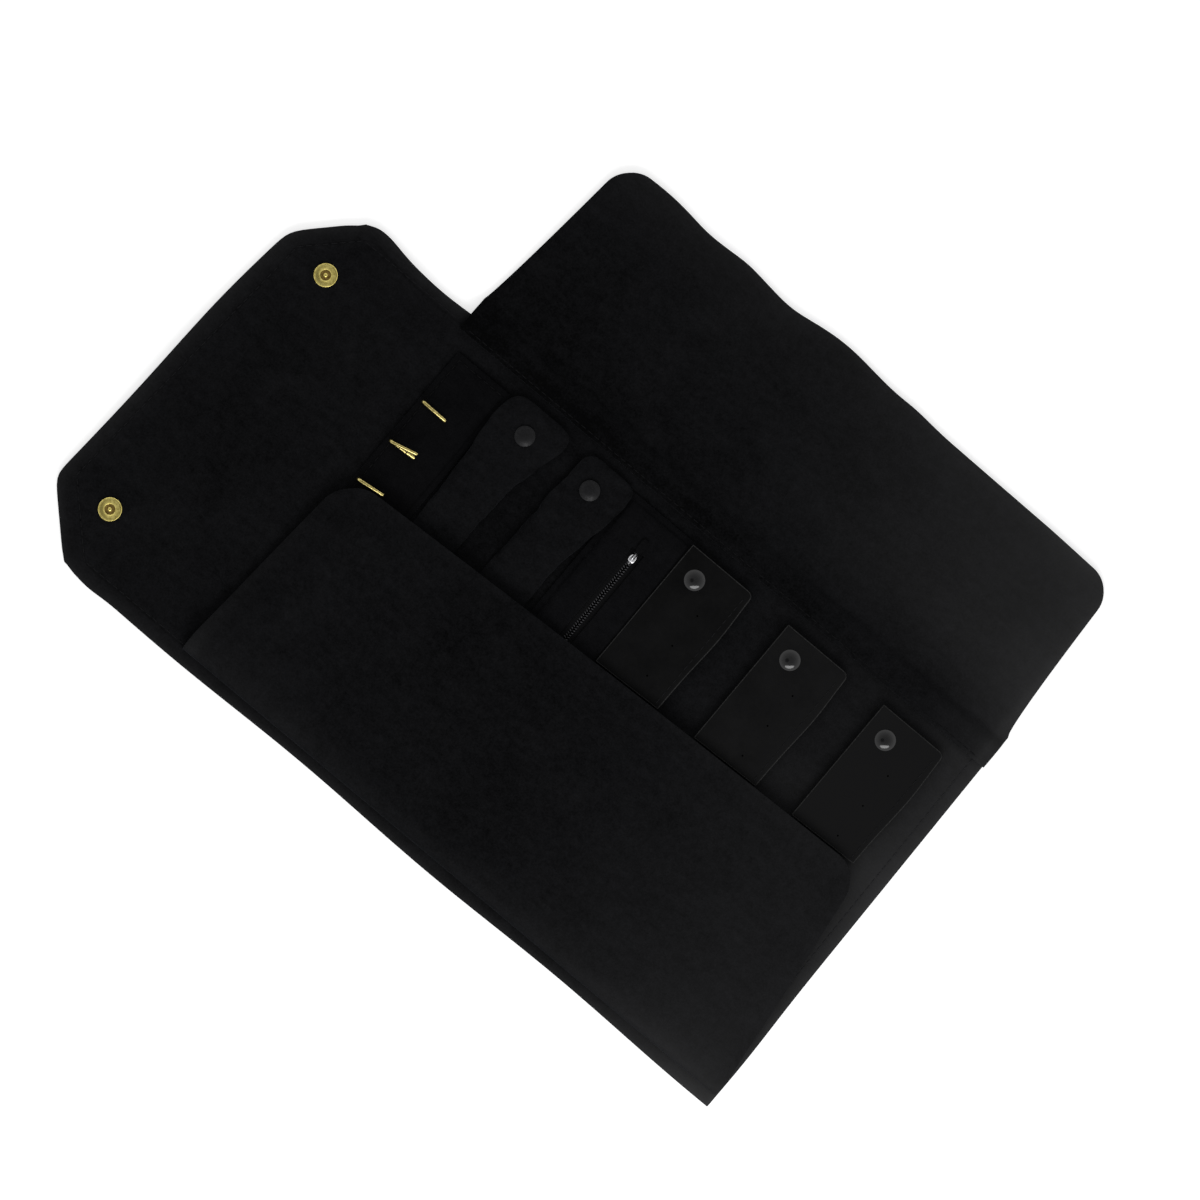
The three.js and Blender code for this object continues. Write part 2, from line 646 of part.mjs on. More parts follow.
// Each leaf is sewn down by its hem at the right, turns beside it, and rests on its snap at the left. Its near end
// stops at the front flap.
function buildLeaves() {
  const far = backSeam - LEAF_SETBACK;
  const round = Math.min(LEAF_ROUND, LEAF_MARGIN - SEW_GAP);
  for (let i = 0; i < LEAVES; i++) {
    const name = `leaf_${i + 1}`;
    const left = firstLeafStart + i * leafPitch;
    const right = left + LEAF_W;
    const turn = right - LEAF_MARGIN;
    const nearLeft = frontFreeEdge(left) + LEAF_FROM_FLAP;
    const nearRight = frontFreeEdge(right) + LEAF_FROM_FLAP;
    const leaf = new THREE.Shape();
    leaf.moveTo(left, nearLeft);
    leaf.lineTo(turn - SEW_GAP, nearRight);
    leaf.lineTo(turn - SEW_GAP, far);
    leaf.lineTo(left, far);
    leaf.closePath();
    const holes = Math.floor((far - HOLE_FROM_FAR - HOLE_R - nearRight) / HOLE_PITCH) + 1;
    for (let hole = 0; hole < holes; hole++) {
      leaf.holes.push(roundHole(left + HOLE_INSET, far - HOLE_FROM_FAR - hole * HOLE_PITCH, HOLE_R));
    }
    add(name, layer(leaf, skinBottom, skinTop), leather(0x17181b));
    addSnap(name, left + LEAF_SNAP_INSET, far - LEAF_SNAP_FROM_END);
    const hem = new THREE.Shape();
    hem.moveTo(turn, nearRight);
    hem.lineTo(right, nearRight);
    hem.lineTo(right, far - round);
    hem.absarc(right - round, far - round, round, 0, Math.PI / 2);
    hem.lineTo(turn, far);
    hem.closePath();
    add(`${name}_hem`, layer(hem, liningTop, skinTop), leather(0x151619));
  }
}

buildPanel();
buildClosingFlap();
buildClosingSnaps();
buildFrontFlap();
buildBackFlap();
buildHooks();
buildRingBars();
buildZipPocket();
buildLeaves();

// The part's frame has its origin under the middle of the opened roll.
const middle = new THREE.Box3().setFromObject(pouch).getCenter(new THREE.Vector3());
pouch.position.set(-middle.x, -middle.y, 0);

export default pouch;
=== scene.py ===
import math

import bpy
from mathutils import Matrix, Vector, noise


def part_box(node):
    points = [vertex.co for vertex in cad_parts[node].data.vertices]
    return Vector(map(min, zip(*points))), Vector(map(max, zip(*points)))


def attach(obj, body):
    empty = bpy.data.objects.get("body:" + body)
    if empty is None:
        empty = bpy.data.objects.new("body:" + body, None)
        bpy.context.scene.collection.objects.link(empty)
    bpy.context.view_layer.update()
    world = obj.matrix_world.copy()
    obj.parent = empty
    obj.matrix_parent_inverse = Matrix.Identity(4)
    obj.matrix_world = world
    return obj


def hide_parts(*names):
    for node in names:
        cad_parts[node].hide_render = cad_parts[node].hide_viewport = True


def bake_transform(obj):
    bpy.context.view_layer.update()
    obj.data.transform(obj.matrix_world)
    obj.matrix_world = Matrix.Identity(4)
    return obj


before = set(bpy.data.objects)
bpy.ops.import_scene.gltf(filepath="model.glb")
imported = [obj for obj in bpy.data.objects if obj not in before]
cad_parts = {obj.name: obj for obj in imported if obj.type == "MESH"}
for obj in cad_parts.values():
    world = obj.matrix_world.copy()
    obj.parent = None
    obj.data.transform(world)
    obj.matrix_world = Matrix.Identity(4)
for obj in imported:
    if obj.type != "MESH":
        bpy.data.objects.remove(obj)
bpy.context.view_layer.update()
bpy.ops.object.select_all(action="DESELECT")

# The studio: the roll lies opened out on a white table and is seen from straight above, turned so that its
# long side runs down to the right. One broad soft lamp stands at the near right, and a white room with one
# dark spot overhead fills the shadows.
MM = 0.001
VIEW_DISTANCE = 2.4
VIEW_WIDTH = 0.587
VIEW_MIDDLE = (0.0221, -0.0084)
VIEW_TURN = math.radians(40)
TABLE_SIDE = 8
TABLE_GAP = 0.2 * MM
TABLE_GREY = (0.62, 0.62, 0.62, 1)
TABLE_GLOW = 0.54
ROOM_FILL = 0.7
DARK_SPOT = (-0.262, -0.22, 0.94)
LAMP_PLACE = Vector((0.75, -0.83, 0.82))
LAMP_LENGTH = 1.6
LAMP_WIDTH = 0.55
LAMP_POWER = 12.5
scene = bpy.context.scene
scene.view_settings.view_transform = "Standard"
bpy.ops.object.camera_add(location=(*VIEW_MIDDLE, VIEW_DISTANCE), rotation=(0, 0, VIEW_TURN))
scene.camera = bpy.context.object
scene.camera.data.lens = scene.camera.data.sensor_width * VIEW_DISTANCE / VIEW_WIDTH


def feed(tree, node, inputs):
    """Sets a node's inputs: a number or a colour is written in, and another node's output is linked."""
    for socket, value in inputs.items():
        if isinstance(value, bpy.types.NodeSocket):
            tree.links.new(value, node.inputs[socket])
        else:
            node.inputs[socket].default_value = value


def add_node(tree, kind, inputs=None, **settings):
    made = tree.nodes.new(kind)
    for setting, value in settings.items():
        setattr(made, setting, value)
    feed(tree, made, inputs or {})
    return made


def reckon(tree, operation, *values):
    """One step of arithmetic on numbers and other nodes' outputs."""
    return add_node(tree, "ShaderNodeMath", dict(enumerate(values)), operation=operation).outputs[0]


def ranged(tree, value, start, end, first, last, **settings):
    """Runs from first to last while the value runs from start to end."""
    inputs = {"Value": value, "From Min": start, "From Max": end, "To Min": first, "To Max": last}
    return add_node(tree, "ShaderNodeMapRange", inputs, **settings).outputs[0]


def seen_directly(tree):
    """1 for rays from the camera, from gloss and through glass, which show the white surroundings, else 0."""
    path = add_node(tree, "ShaderNodeLightPath").outputs
    mirrored = reckon(tree, "MAXIMUM", path["Is Camera Ray"], path["Is Glossy Ray"])
    return reckon(tree, "MAXIMUM", mirrored, path["Is Transmission Ray"])


bpy.ops.mesh.primitive_plane_add(size=TABLE_SIDE, location=(0, 0, -TABLE_GAP))
table = bpy.context.object
table.name = "table"
white_table = bpy.data.materials.new("white_table")
white_table.use_nodes = True
tree = white_table.node_tree
tree.nodes.clear()
board = add_node(tree, "ShaderNodeBsdfDiffuse", {"Color": TABLE_GREY})
level = reckon(tree, "MULTIPLY", seen_directly(tree), TABLE_GLOW)
glow = add_node(tree, "ShaderNodeEmission", {"Strength": level})
both = add_node(tree, "ShaderNodeAddShader", {0: board.outputs[0], 1: glow.outputs[0]})
add_node(tree, "ShaderNodeOutputMaterial", {"Surface": both.outputs[0]})
table.data.materials.append(white_table)

scene.world = bpy.data.worlds.new("white_room")
scene.world.use_nodes = True
tree = scene.world.node_tree
tree.nodes.clear()
direction = add_node(tree, "ShaderNodeTexCoord").outputs["Generated"]
height = add_node(tree, "ShaderNodeSeparateXYZ", {0: direction}).outputs["Z"]
towards = add_node(tree, "ShaderNodeVectorMath", {0: direction, 1: DARK_SPOT}, operation="DOT_PRODUCT")
ceiling = ranged(tree, height, 0.25, 0.95, 1.0, 0.38)
spot = ranged(tree, towards.outputs["Value"], 0.955, 0.98, 1.0, 0.3)
room = reckon(tree, "MULTIPLY", ceiling, spot)
fill = add_node(tree, "ShaderNodeMix", {"Factor": seen_directly(tree), "A": ROOM_FILL, "B": room})
walls = add_node(tree, "ShaderNodeBackground", {"Color": (1, 1, 1, 1), "Strength": fill.outputs[0]})
add_node(tree, "ShaderNodeOutputWorld", {"Surface": walls.outputs[0]})

bpy.ops.object.light_add(type="AREA", location=LAMP_PLACE)
lamp = bpy.context.object
lamp.name = "soft_lamp"
lamp.data.shape = "ELLIPSE"
lamp.data.size = LAMP_LENGTH
lamp.data.size_y = LAMP_WIDTH
lamp.data.energy = LAMP_POWER
lamp.rotation_euler = (-LAMP_PLACE).to_track_quat("-Z", "Y").to_euler()

# The shell is one long piece of black suede, the outside of the panel and of the closing flap. It was cut
# with a slanted end and two cut corners, and lies nap side down on the table. Its edges were left raw.
panel_low, panel_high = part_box("shell_panel")
fold_low, fold_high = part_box("closing_fold")
NEAR = panel_low.y
FAR = panel_high.y
FOLD_X = (fold_low.x + fold_high.x) / 2
SHELL_T = 1.58 * MM
NEAR_CUT_Y = NEAR + 30 * MM
FAR_CUT_Y = FAR - 24 * MM
END_NEAR_X = FOLD_X - 95 * MM
END_FAR_X = FOLD_X - 83 * MM
END_SOFTNESS = 2.2 * MM
RIGHT_LEAN = 0.016
NEAR_WAVE = 0.7 * MM
NEAR_WAVE_LENGTH = 165 * MM
NEAR_WAVE_CREST = -40 * MM
SNAP_HOLE_GAP = 0.5 * MM
PUNCH_LENGTH = 60 * MM
PUNCH_SIDES = 40
POINT_GAP = 2.5 * MM
CUT_ANGLE = math.radians(50)
SMOOTH_ANGLE = math.radians(40)
# middle, reach and height of the humps of each cut edge, in millimetres
RIGHT_WAVES = ((-135, 30, 0.8),)
NEAR_WAVES = ((-174, 10, -1.1), (-190, 4, 0.9))
FAR_WAVES = ((-173, 13, 2.4), (-133, 22, -1.6), (-184.5, 4.5, -1.7))
# height of each lift of the closing flap, then its middle and reach along x and along y
CLOSING_LIFTS = (
    (1.5 * MM, -217 * MM, 16 * MM, -55 * MM, 42 * MM),
    (1.1 * MM, -152 * MM, 20 * MM, FAR, 15 * MM),
    (1.0 * MM, -160 * MM, 18 * MM, NEAR, 14 * MM),
)
SUEDE_DEEP = (0.0011, 0.0011, 0.0012, 1)
SUEDE_RAISED = (0.0082, 0.0083, 0.0092, 1)
SUEDE_SHEEN = (0.62, 0.66, 0.76, 1)
# how far the point mark darkens and pales the suede; most of it is painted shade and painted light
DARK_NAP_AND_SHADE = 0.12
PALE_NAP_AND_LIGHT = 0.0036
SEAM_REACH = 1.1 * MM


def hump(value, centre, reach):
    return math.exp(-(((value - centre) / reach) ** 2))


def wavy(value, waves):
    """How far a cut edge strays at a place along it."""
    return sum(height * hump(value, middle * MM, reach * MM) for middle, reach, height in waves) * MM


def cut_end(y):
    """The closing flap's end at y: a slanted, slightly bulging edge between two cut corners."""
    share = (y - NEAR_CUT_Y) / (FAR_CUT_Y - NEAR_CUT_Y)
    bulge = (1.4 + 2.4 * hump(share, 0.72, 0.3)) * MM
    slanted = END_NEAR_X + (END_FAR_X - END_NEAR_X) * share - bulge
    near_cut = END_NEAR_X + NEAR_CUT_Y - y - 0.9 * MM
    far_cut = END_FAR_X + y - FAR_CUT_Y + 0.2 * MM
    pulls = [math.exp((edge - FOLD_X) / END_SOFTNESS) for edge in (slanted, near_cut, far_cut)]
    return FOLD_X + END_SOFTNESS * math.log(sum(pulls))


def right_end(y):
    return panel_high.x - RIGHT_LEAN * (y - (NEAR + FAR) / 2) + wavy(y, RIGHT_WAVES)


def near_edge(x):
    long_wave = NEAR_WAVE * math.cos(2 * math.pi * (x - NEAR_WAVE_CREST) / NEAR_WAVE_LENGTH)
    return NEAR + long_wave + wavy(x, NEAR_WAVES)


def far_edge(x):
    return FAR + wavy(x, FAR_WAVES)


def closing_lift(x, y):
    """How far the closing flap's unweighted edges stand off the table."""
    return sum(height * hump(x, middle_x, reach_x) * hump(y, middle_y, reach_y)
               for height, middle_x, reach_x, middle_y, reach_y in CLOSING_LIFTS)


def just_added(name):
    """The piece that was added last, under its own name."""
    piece = bpy.context.object
    piece.name = piece.data.name = name
    return piece


def select_only(*pieces):
    """Selects these pieces alone, with the first one active."""
    bpy.ops.object.select_all(action="DESELECT")
    for piece in pieces:
        piece.select_set(True)
    bpy.context.view_layer.objects.active = pieces[0]


def join(*pieces):
    """Makes one piece of several, under the first one's name."""
    select_only(*pieces)
    bpy.ops.object.join()
    return pieces[0]


def apply_modifier(piece, name, kind, **settings):
    modifier = piece.modifiers.new(name, kind)
    for setting, value in settings.items():
        setattr(modifier, setting, value)
    bpy.context.view_layer.objects.active = piece
    bpy.ops.object.modifier_apply(modifier=name)


def lay_sheet(name, columns, rows, place):
    """A sheet as a grid of points, each put where place says for its shares along and across the sheet."""
    bpy.ops.mesh.primitive_grid_add(x_subdivisions=columns, y_subdivisions=rows, size=2)
    piece = just_added(name)
    for point in piece.data.vertices:
        point.co = place((point.co.x + 1) / 2, (point.co.y + 1) / 2)
    return piece


def thicken(piece, thickness, edge=0.3 * MM):
    """Gives a sheet its thickness, upwards, and takes the sharpness off its cut edge."""
    apply_modifier(piece, "thickness", "SOLIDIFY", thickness=thickness, offset=1, use_even_offset=True)
    apply_modifier(piece, "cut_edge", "BEVEL", width=edge, segments=2, limit_method="ANGLE",
                   angle_limit=CUT_ANGLE)
    select_only(piece)
    bpy.ops.object.shade_smooth_by_angle(angle=SMOOTH_ANGLE)


def punch(piece, places):
    """Round holes right through a sheet, from (x, y, radius)."""
    cutters = []
    for x, y, radius in places:
        bpy.ops.mesh.primitive_cylinder_add(vertices=PUNCH_SIDES, radius=radius, depth=PUNCH_LENGTH,
                                            location=(x, y, 0))
        cutters.append(bpy.context.object)
    cutter = join(*cutters)
    apply_modifier(piece, "holes", "BOOLEAN", object=cutter, operation="DIFFERENCE", solver="EXACT")
    bpy.data.objects.remove(cutter)


def new_finish(name):
    """A new finish with its node tree, its shader and the piece's own coordinates."""
    finish = bpy.data.materials.new(name)
    finish.use_nodes = True
    tree = finish.node_tree
    place = add_node(tree, "ShaderNodeTexCoord").outputs["Object"]
    return finish, tree, tree.nodes["Principled BSDF"], place


def fleck(tree, place, scale, detail, roughness=0.5, distortion=0):
    """Irregular flecks, from 0 to 1."""
    inputs = {"Vector": place, "Scale": scale, "Detail": detail, "Roughness": roughness,
              "Distortion": distortion}
    return add_node(tree, "ShaderNodeTexNoise", inputs).outputs["Fac"]


def two_tone(tree, shade, low, deep, high, pale):
    """A colour that is deep up to a low shade and pale from a high one."""
    ramp = add_node(tree, "ShaderNodeValToRGB", {"Fac": shade})
    for stop, position, colour in zip(ramp.color_ramp.elements, (low, high), (deep, pale)):
        stop.position = position
        stop.color = colour
    return ramp.outputs["Color"]


def relief(tree, height, strength, depth):
    inputs = {"Height": height, "Strength": strength, "Distance": depth}
    return add_node(tree, "ShaderNodeBump", inputs).outputs[0]


def suede(name, deep=SUEDE_DEEP, raised=SUEDE_RAISED, seam=0, brushed=False):
    """Black suede: a cloudy nap swept this way and that, with short fibres. Seam is how dark a sewn row
    presses the nap beside it. A brushed mark darkens or pales it point by point, most of it
    painted shade and painted light."""
    finish, tree, shader, place = new_finish(name)
    brush = {"Vector": place, "Rotation": (0, 0, math.radians(34)), "Scale": (45, 190, 120)}
    swept = add_node(tree, "ShaderNodeMapping", brush).outputs[0]
    cloud = fleck(tree, place, 30, 6, 0.62, 0.5)
    streak = fleck(tree, swept, 1, 4, 0.6, 0.6)
    nap = fleck(tree, place, 260, 4, 0.65)
    fibre = fleck(tree, place, 950, 3, 0.75)
    shade = -0.04
    for grain, share in ((cloud, 0.24), (streak, 0.17), (nap, 0.32), (fibre, 0.42)):
        shade = reckon(tree, "MULTIPLY_ADD", grain, share, shade)
    height = fibre
    # the point mark darkens the suede: painted shade, and darker patches
    if brushed:
        nap_and_light_mark = add_node(tree, "ShaderNodeAttribute", attribute_name="brushed").outputs["Fac"]
        shade = reckon(tree, "MULTIPLY_ADD", reckon(tree, "MAXIMUM", nap_and_light_mark, 0), -DARK_NAP_AND_SHADE, shade)
    if seam:
        row = add_node(tree, "ShaderNodeAttribute", attribute_name="seam").outputs["Fac"]
        off_row = reckon(tree, "ABSOLUTE", row)
        open_nap = ranged(tree, off_row, 0, SEAM_REACH, 0, 1, interpolation_type="SMOOTHSTEP")
        shade = reckon(tree, "ADD", reckon(tree, "MULTIPLY_ADD", open_nap, seam, -seam), shade)
        height = reckon(tree, "MULTIPLY_ADD", open_nap, 5 * seam, height)
    colour = two_tone(tree, shade, 0.34, deep, 0.76, raised)
    # and pales it: painted light, and paler patches
    if brushed:
        paler = reckon(tree, "MULTIPLY", reckon(tree, "MINIMUM", nap_and_light_mark, 0), -PALE_NAP_AND_LIGHT)
        colour = add_node(tree, "ShaderNodeVectorMath", {0: colour, 1: paler}, operation="ADD").outputs[0]
    feed(tree, shader, {
        "Base Color": colour,
        "Roughness": ranged(tree, nap, 0.3, 0.7, 0.86, 1.0),
        "Normal": relief(tree, height, 0.45, 0.35 * MM),
        "Specular IOR Level": 0.02,
        "Sheen Weight": 0.04,
        "Sheen Roughness": 0.4,
        "Sheen Tint": SUEDE_SHEEN,
    })
    return finish


def dress(piece, finish, slot, *nodes):
    """Sets a finished piece at the origin with its finish, and has it stand for CAD nodes."""
    select_only(piece)
    bpy.ops.object.transform_apply(location=True, rotation=True, scale=True)
    piece.data.materials.clear()
    piece.data.materials.append(finish)
    if nodes:
        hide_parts(*nodes)
    return piece


def strip_place(inset, base):
    def place(along, across):
        y = NEAR + (FAR - NEAR) * across
        left = cut_end(y) + inset
        x = left + (right_end(y) - inset - left) * along
        near = near_edge(x) + inset
        y = near + (far_edge(x) - inset - near) * across
        return (x, y, base + closing_lift(x, y))
    return place


def seat(node):
    """The middle of a CAD node, seen from above, and its lowest height."""
    low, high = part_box(node)
    return (low.x + high.x) / 2, (low.y + high.y) / 2, low.z


STRIP_LENGTH = panel_high.x - END_NEAR_X
STRIP_WIDTH = FAR - NEAR
STRIP_GRID = (round(STRIP_LENGTH / POINT_GAP), round(STRIP_WIDTH / POINT_GAP))
shell = lay_sheet("shell", *STRIP_GRID, strip_place(0, 0))
thicken(shell, SHELL_T)
snap_holes = []
for node in ("closing_cap_1", "closing_cap_2", "closing_stud_1", "closing_stud_2"):
    low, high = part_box(node)
    snap_holes.append((*seat(node)[:2], (high.x - low.x) / 2 + SNAP_HOLE_GAP))
punch(shell, snap_holes)
dress(shell, suede("shell_suede"), "suede_shell", "shell_panel", "closing_flap_shell", "closing_fold")
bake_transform(shell)

# The lining is a second piece of suede of the same cut, nap side up. It is sewn to the shell by one row of
# black thread, set in from the raw edge. Painted shade darkens it where the pockets and bars are, and
# painted light pales it among the leaves and towards the right.
LINING_LOW = 1.62 * MM
LINING_T = 1.38 * MM
LINING_TOP = LINING_LOW + LINING_T
LINING_INSET = 0.35 * MM
ROW_NEAR = 8.2 * MM
ROW_NEAR_CUT = 10.4 * MM
ROW_END = 6 * MM
ROW_FAR_CUT = 8.4 * MM
ROW_FAR = 7 * MM
ROW_RIGHT = 6.5 * MM
END_SLOPE = (END_FAR_X - END_NEAR_X) / (FAR_CUT_Y - NEAR_CUT_Y)
END_LENGTH = math.hypot(1, END_SLOPE)
hooks_low, hooks_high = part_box("hook_panel")


def row_distance(x, y, z):
    """Distance inwards from the row of stitches round the strip."""
    end = (x - END_NEAR_X - END_SLOPE * (y - NEAR_CUT_Y)) / END_LENGTH
    near_cut = (x - END_NEAR_X + y - NEAR_CUT_Y) / math.sqrt(2)
    far_cut = (x - END_FAR_X - y + FAR_CUT_Y) / math.sqrt(2)
    return min(y - near_edge(x) - ROW_NEAR, far_edge(x) - y - ROW_FAR, right_end(y) - x - ROW_RIGHT,
               end - ROW_END, near_cut - ROW_NEAR_CUT, far_cut - ROW_FAR_CUT)


def edge_distance(x, y):
    """Distance inwards from the strip's raw edge."""
    return min(y - near_edge(x), far_edge(x) - y, right_end(y) - x, 0.75 * (x - cut_end(y)))


def smooth_step(value, low, high):
    share = min(max((value - low) / (high - low), 0), 1)
    return share * share * (3 - 2 * share)


def paler_rim(distance, amount, reach):
    """How much paler the suede is drawn at a distance from an edge or seam; along the front fold and over
    the back flap's far part this is painted light.
    """
    return amount * math.exp(-max(distance, 0) / reach)


def lining_nap_and_painted_light(x, y, z):
    """Painted shade where the pockets and bars are, and darker in the middle of the closing flap. Painted
    light by the front flap among the leaves, towards the right, at the right end and at the near right
    corner;
    paler by the raw edge."""
    leaves = smooth_step(x, 45 * MM, 85 * MM)
    past_hooks = smooth_step(x, hooks_low.x - 8 * MM, hooks_low.x + 6 * MM)
    inside = past_hooks * smooth_step(FAR - y, 8 * MM, 22 * MM)
    # painted shade among the pockets and between the ring bars, left out among the leaves
    kept = 0.5 * inside * smooth_step(y - NEAR, 30 * MM, 60 * MM) * (1 - leaves)
    closing = 0.45 * hump(x, -160 * MM, 35 * MM) * hump(y, -55 * MM, 45 * MM)
    # painted light that lifts the shade by the front flap's free edge among the leaves
    by_flap = hump(y, -35 * MM, 28 * MM) * smooth_step(x, 75 * MM, 150 * MM)
    # pale is painted light: the lift by the front flap and a glare growing towards the right
    pale = 0.95 * by_flap + 0.9 * smooth_step(x, 60 * MM, 215 * MM)
    # painted glare at the right end
    end = 2 * smooth_step(x, 175 * MM, 218 * MM)
    # painted glare at the near right corner
    corner = 1.8 * smooth_step(x, 120 * MM, 200 * MM) * (1 - smooth_step(y - NEAR, 0, 40 * MM))
    return kept + closing - pale - end - corner - paler_rim(edge_distance(x, y), 2.2, 3.3 * MM)


def mark(piece, **attributes):
    """Gives each point of a piece the values that its finish reads."""
    for name, value_at in attributes.items():
        attribute = piece.data.attributes.new(name, "FLOAT", "POINT")
        attribute.data.foreach_set("value", [value_at(*point.co) for point in piece.data.vertices])


def make_layer(name, grid, place, thickness, finish, slot, *nodes, **attributes):
    """A whole layer of suede, laid, thickened, marked and dressed."""
    layer = lay_sheet(name, *grid, place)
    thicken(layer, thickness)
    mark(layer, **attributes)
    return dress(layer, finish, slot, *nodes)


lining = make_layer("lining", STRIP_GRID, strip_place(LINING_INSET, LINING_LOW), LINING_T,
                    suede("lining_suede", seam=0.07, brushed=True), "suede_lining",
                    "lining_panel", "closing_flap_lining", seam=row_distance, brushed=lining_nap_and_painted_light)
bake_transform(lining)

STITCH = 3.5 * MM
STITCH_PITCH = 4.2 * MM
THREAD_R = 0.28 * MM
THREAD_DEEP = (0.003, 0.003, 0.0034, 1)
PATH_STEP = 6 * MM
PAST_FOLD = 6 * MM
END_ROW_SHARES = (0.035, 0.25, 0.5, 0.75, 0.965)


def sewing_thread(name, pale):
    """Black twisted thread, a little glossier and greyer than the suede."""
    finish, tree, shader, place = new_finish(name)
    twist = fleck(tree, place, 2600, 2)
    feed(tree, shader, {
        "Base Color": two_tone(tree, twist, 0, THREAD_DEEP, 1, (pale, pale, pale * 1.1, 1)),
        "Normal": relief(tree, twist, 0.5, 0.1 * MM),
        "Roughness": 0.7,
        "Specular IOR Level": 0.06,
    })
    return finish


thread = sewing_thread("black_thread", 0.0105)
dull_thread = sewing_thread("dull_thread", 0.0045)


def sew(name, path, finish=thread):
    """A row of stitches. One stitch is modelled, repeated in a straight row and laid along the path."""
    line = bpy.data.curves.new(name + "_line", "CURVE")
    line.dimensions = "3D"
    line.twist_mode = "Z_UP"
    spline = line.splines.new("POLY")
    spline.points.add(len(path) - 1)
    for point, place in zip(spline.points, path):
        point.co = (*place, 1)
    guide = bpy.data.objects.new(name + "_line", line)
    scene.collection.objects.link(guide)
    length = sum((Vector(b) - Vector(a)).length for a, b in zip(path, path[1:]))
    bpy.ops.mesh.primitive_uv_sphere_add(segments=6, ring_count=4, radius=1, rotation=(0, math.pi / 2, 0))
    row = just_added(name)
    bpy.ops.object.transform_apply(location=False, rotation=True, scale=False)
    row.scale = (STITCH / 2, THREAD_R, THREAD_R * 0.8)
    row.location.x = STITCH_PITCH / 2
    bpy.ops.object.transform_apply(location=True, rotation=False, scale=True)
    apply_modifier(row, "row", "ARRAY", count=max(int(length / STITCH_PITCH), 1), use_relative_offset=False,
                   use_constant_offset=True, constant_offset_displace=(STITCH_PITCH, 0, 0))
    apply_modifier(row, "seam", "CURVE", object=guide, deform_axis="POS_X")
    bpy.data.objects.remove(guide)
    bpy.ops.object.shade_smooth()
    return dress(row, finish, "suede_lining")


def border_path():
    """The row round the closing flap, from the panel's near edge to its far edge."""
    near_sum = END_NEAR_X + NEAR_CUT_Y + ROW_NEAR_CUT * math.sqrt(2)
    far_sum = END_FAR_X - FAR_CUT_Y + ROW_FAR_CUT * math.sqrt(2)
    end_x = END_NEAR_X + ROW_END * END_LENGTH - END_SLOPE * NEAR_CUT_Y
    near_y, far_y = NEAR + ROW_NEAR, FAR - ROW_FAR
    near_turn = (near_sum - end_x) / (1 + END_SLOPE)
    far_turn = (end_x - far_sum) / (1 - END_SLOPE)
    corners = [
        (fold_high.x + PAST_FOLD, near_y),
        (near_sum - near_y, near_y),
        (near_sum - near_turn, near_turn),
        (far_sum + far_turn, far_turn),
        (far_sum + far_y, far_y),
        (fold_high.x + PAST_FOLD, far_y),
    ]
    path = []
    for (x0, y0), (x1, y1) in zip(corners, corners[1:]):
        steps = max(int(math.hypot(x1 - x0, y1 - y0) / PATH_STEP), 1)
        for step in range(steps):
            x = x0 + (x1 - x0) * step / steps
            y = y0 + (y1 - y0) * step / steps
            path.append((x, y, LINING_TOP + closing_lift(x, y)))
    return path


border_stitches = sew("border_stitches", border_path())
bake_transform(border_stitches)
end_row = []
for share in END_ROW_SHARES:
    y = NEAR + share * STRIP_WIDTH
    end_row.append((right_end(y) - ROW_RIGHT, y, LINING_TOP))
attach(sew("end_stitches", end_row, sewing_thread("end_thread", 0.024)), "panel")

# Each closing snap is a brass socket on the inside of the closing flap, clenched through both layers to a
# black cap in the shell. The socket is a flat bare ring with a rolled edge round a sunk middle and a rolled
# post. Two brass studs in the panel's shell are what it closes on.
BRASS_DEEP = (0.29, 0.23, 0.065, 1)
BRASS_BRIGHT = (0.68, 0.575, 0.23, 1)
RING_DEEP = (0.46, 0.365, 0.085, 1)
RING_BRIGHT = (0.98, 0.83, 0.27, 1)
# darker brass for the socket's sunk ring: painted shade in the recess
SUNK_SHADE_DEEP = (0.13, 0.08, 0.018, 1)
SUNK_SHADE_BRIGHT = (0.38, 0.265, 0.075, 1)
BLACK_DEEP = (0.004, 0.004, 0.0045, 1)
BLACK_BRIGHT = (0.009, 0.009, 0.010, 1)
TARNISH = 900
TURNED_ANGLE = math.radians(35)
MERGE = 1e-6
SUNK_INNER = 0.9 * MM
SUNK_OUTER = 2.62 * MM
SUNK_TOP = 1.1 * MM
# radius and height of each ring of a turned piece, in millimetres
SOCKET_PROFILE = [
    (5.3, 0.0), (5.7, 0.1), (5.9, 0.42), (5.84, 0.78), (5.6, 0.98), (5.32, 1.0), (5.15, 0.93), (5.0, 0.92),
    (3.3, 1.12), (3.05, 1.22), (2.85, 1.28), (2.65, 1.2), (2.52, 0.95), (2.4, 0.3), (2.2, 0.24), (1.35, 0.24),
    (1.12, 0.34), (1.0, 0.9), (1.08, 1.25), (1.02, 1.52), (0.78, 1.74), (0.42, 1.86), (0.1, 1.89),
]
CLOSING_CAP_PROFILE = [
    (0.3, 0.0), (3.6, 0.04), (5.2, 0.16), (5.85, 0.4), (6.08, 0.75), (6.08, 1.05), (5.9, 1.28), (0.3, 1.3),
]
CLOSING_STUD_PROFILE = [
    (0.3, 0.0), (1.35, 0.02), (1.65, 0.14), (1.78, 0.34), (1.68, 0.62), (1.7, 0.78), (4.6, 0.8), (4.92, 0.9),
    (5.0, 1.1), (4.9, 1.28), (0.3, 1.3),
]


def close_up():
    """Merges the doubled points of the piece in edit mode, turns its faces outwards and leaves edit mode."""
    bpy.ops.mesh.select_all(action="SELECT")
    bpy.ops.mesh.remove_doubles(threshold=MERGE)
    bpy.ops.mesh.normals_make_consistent(inside=False)
    bpy.ops.object.mode_set(mode="OBJECT")


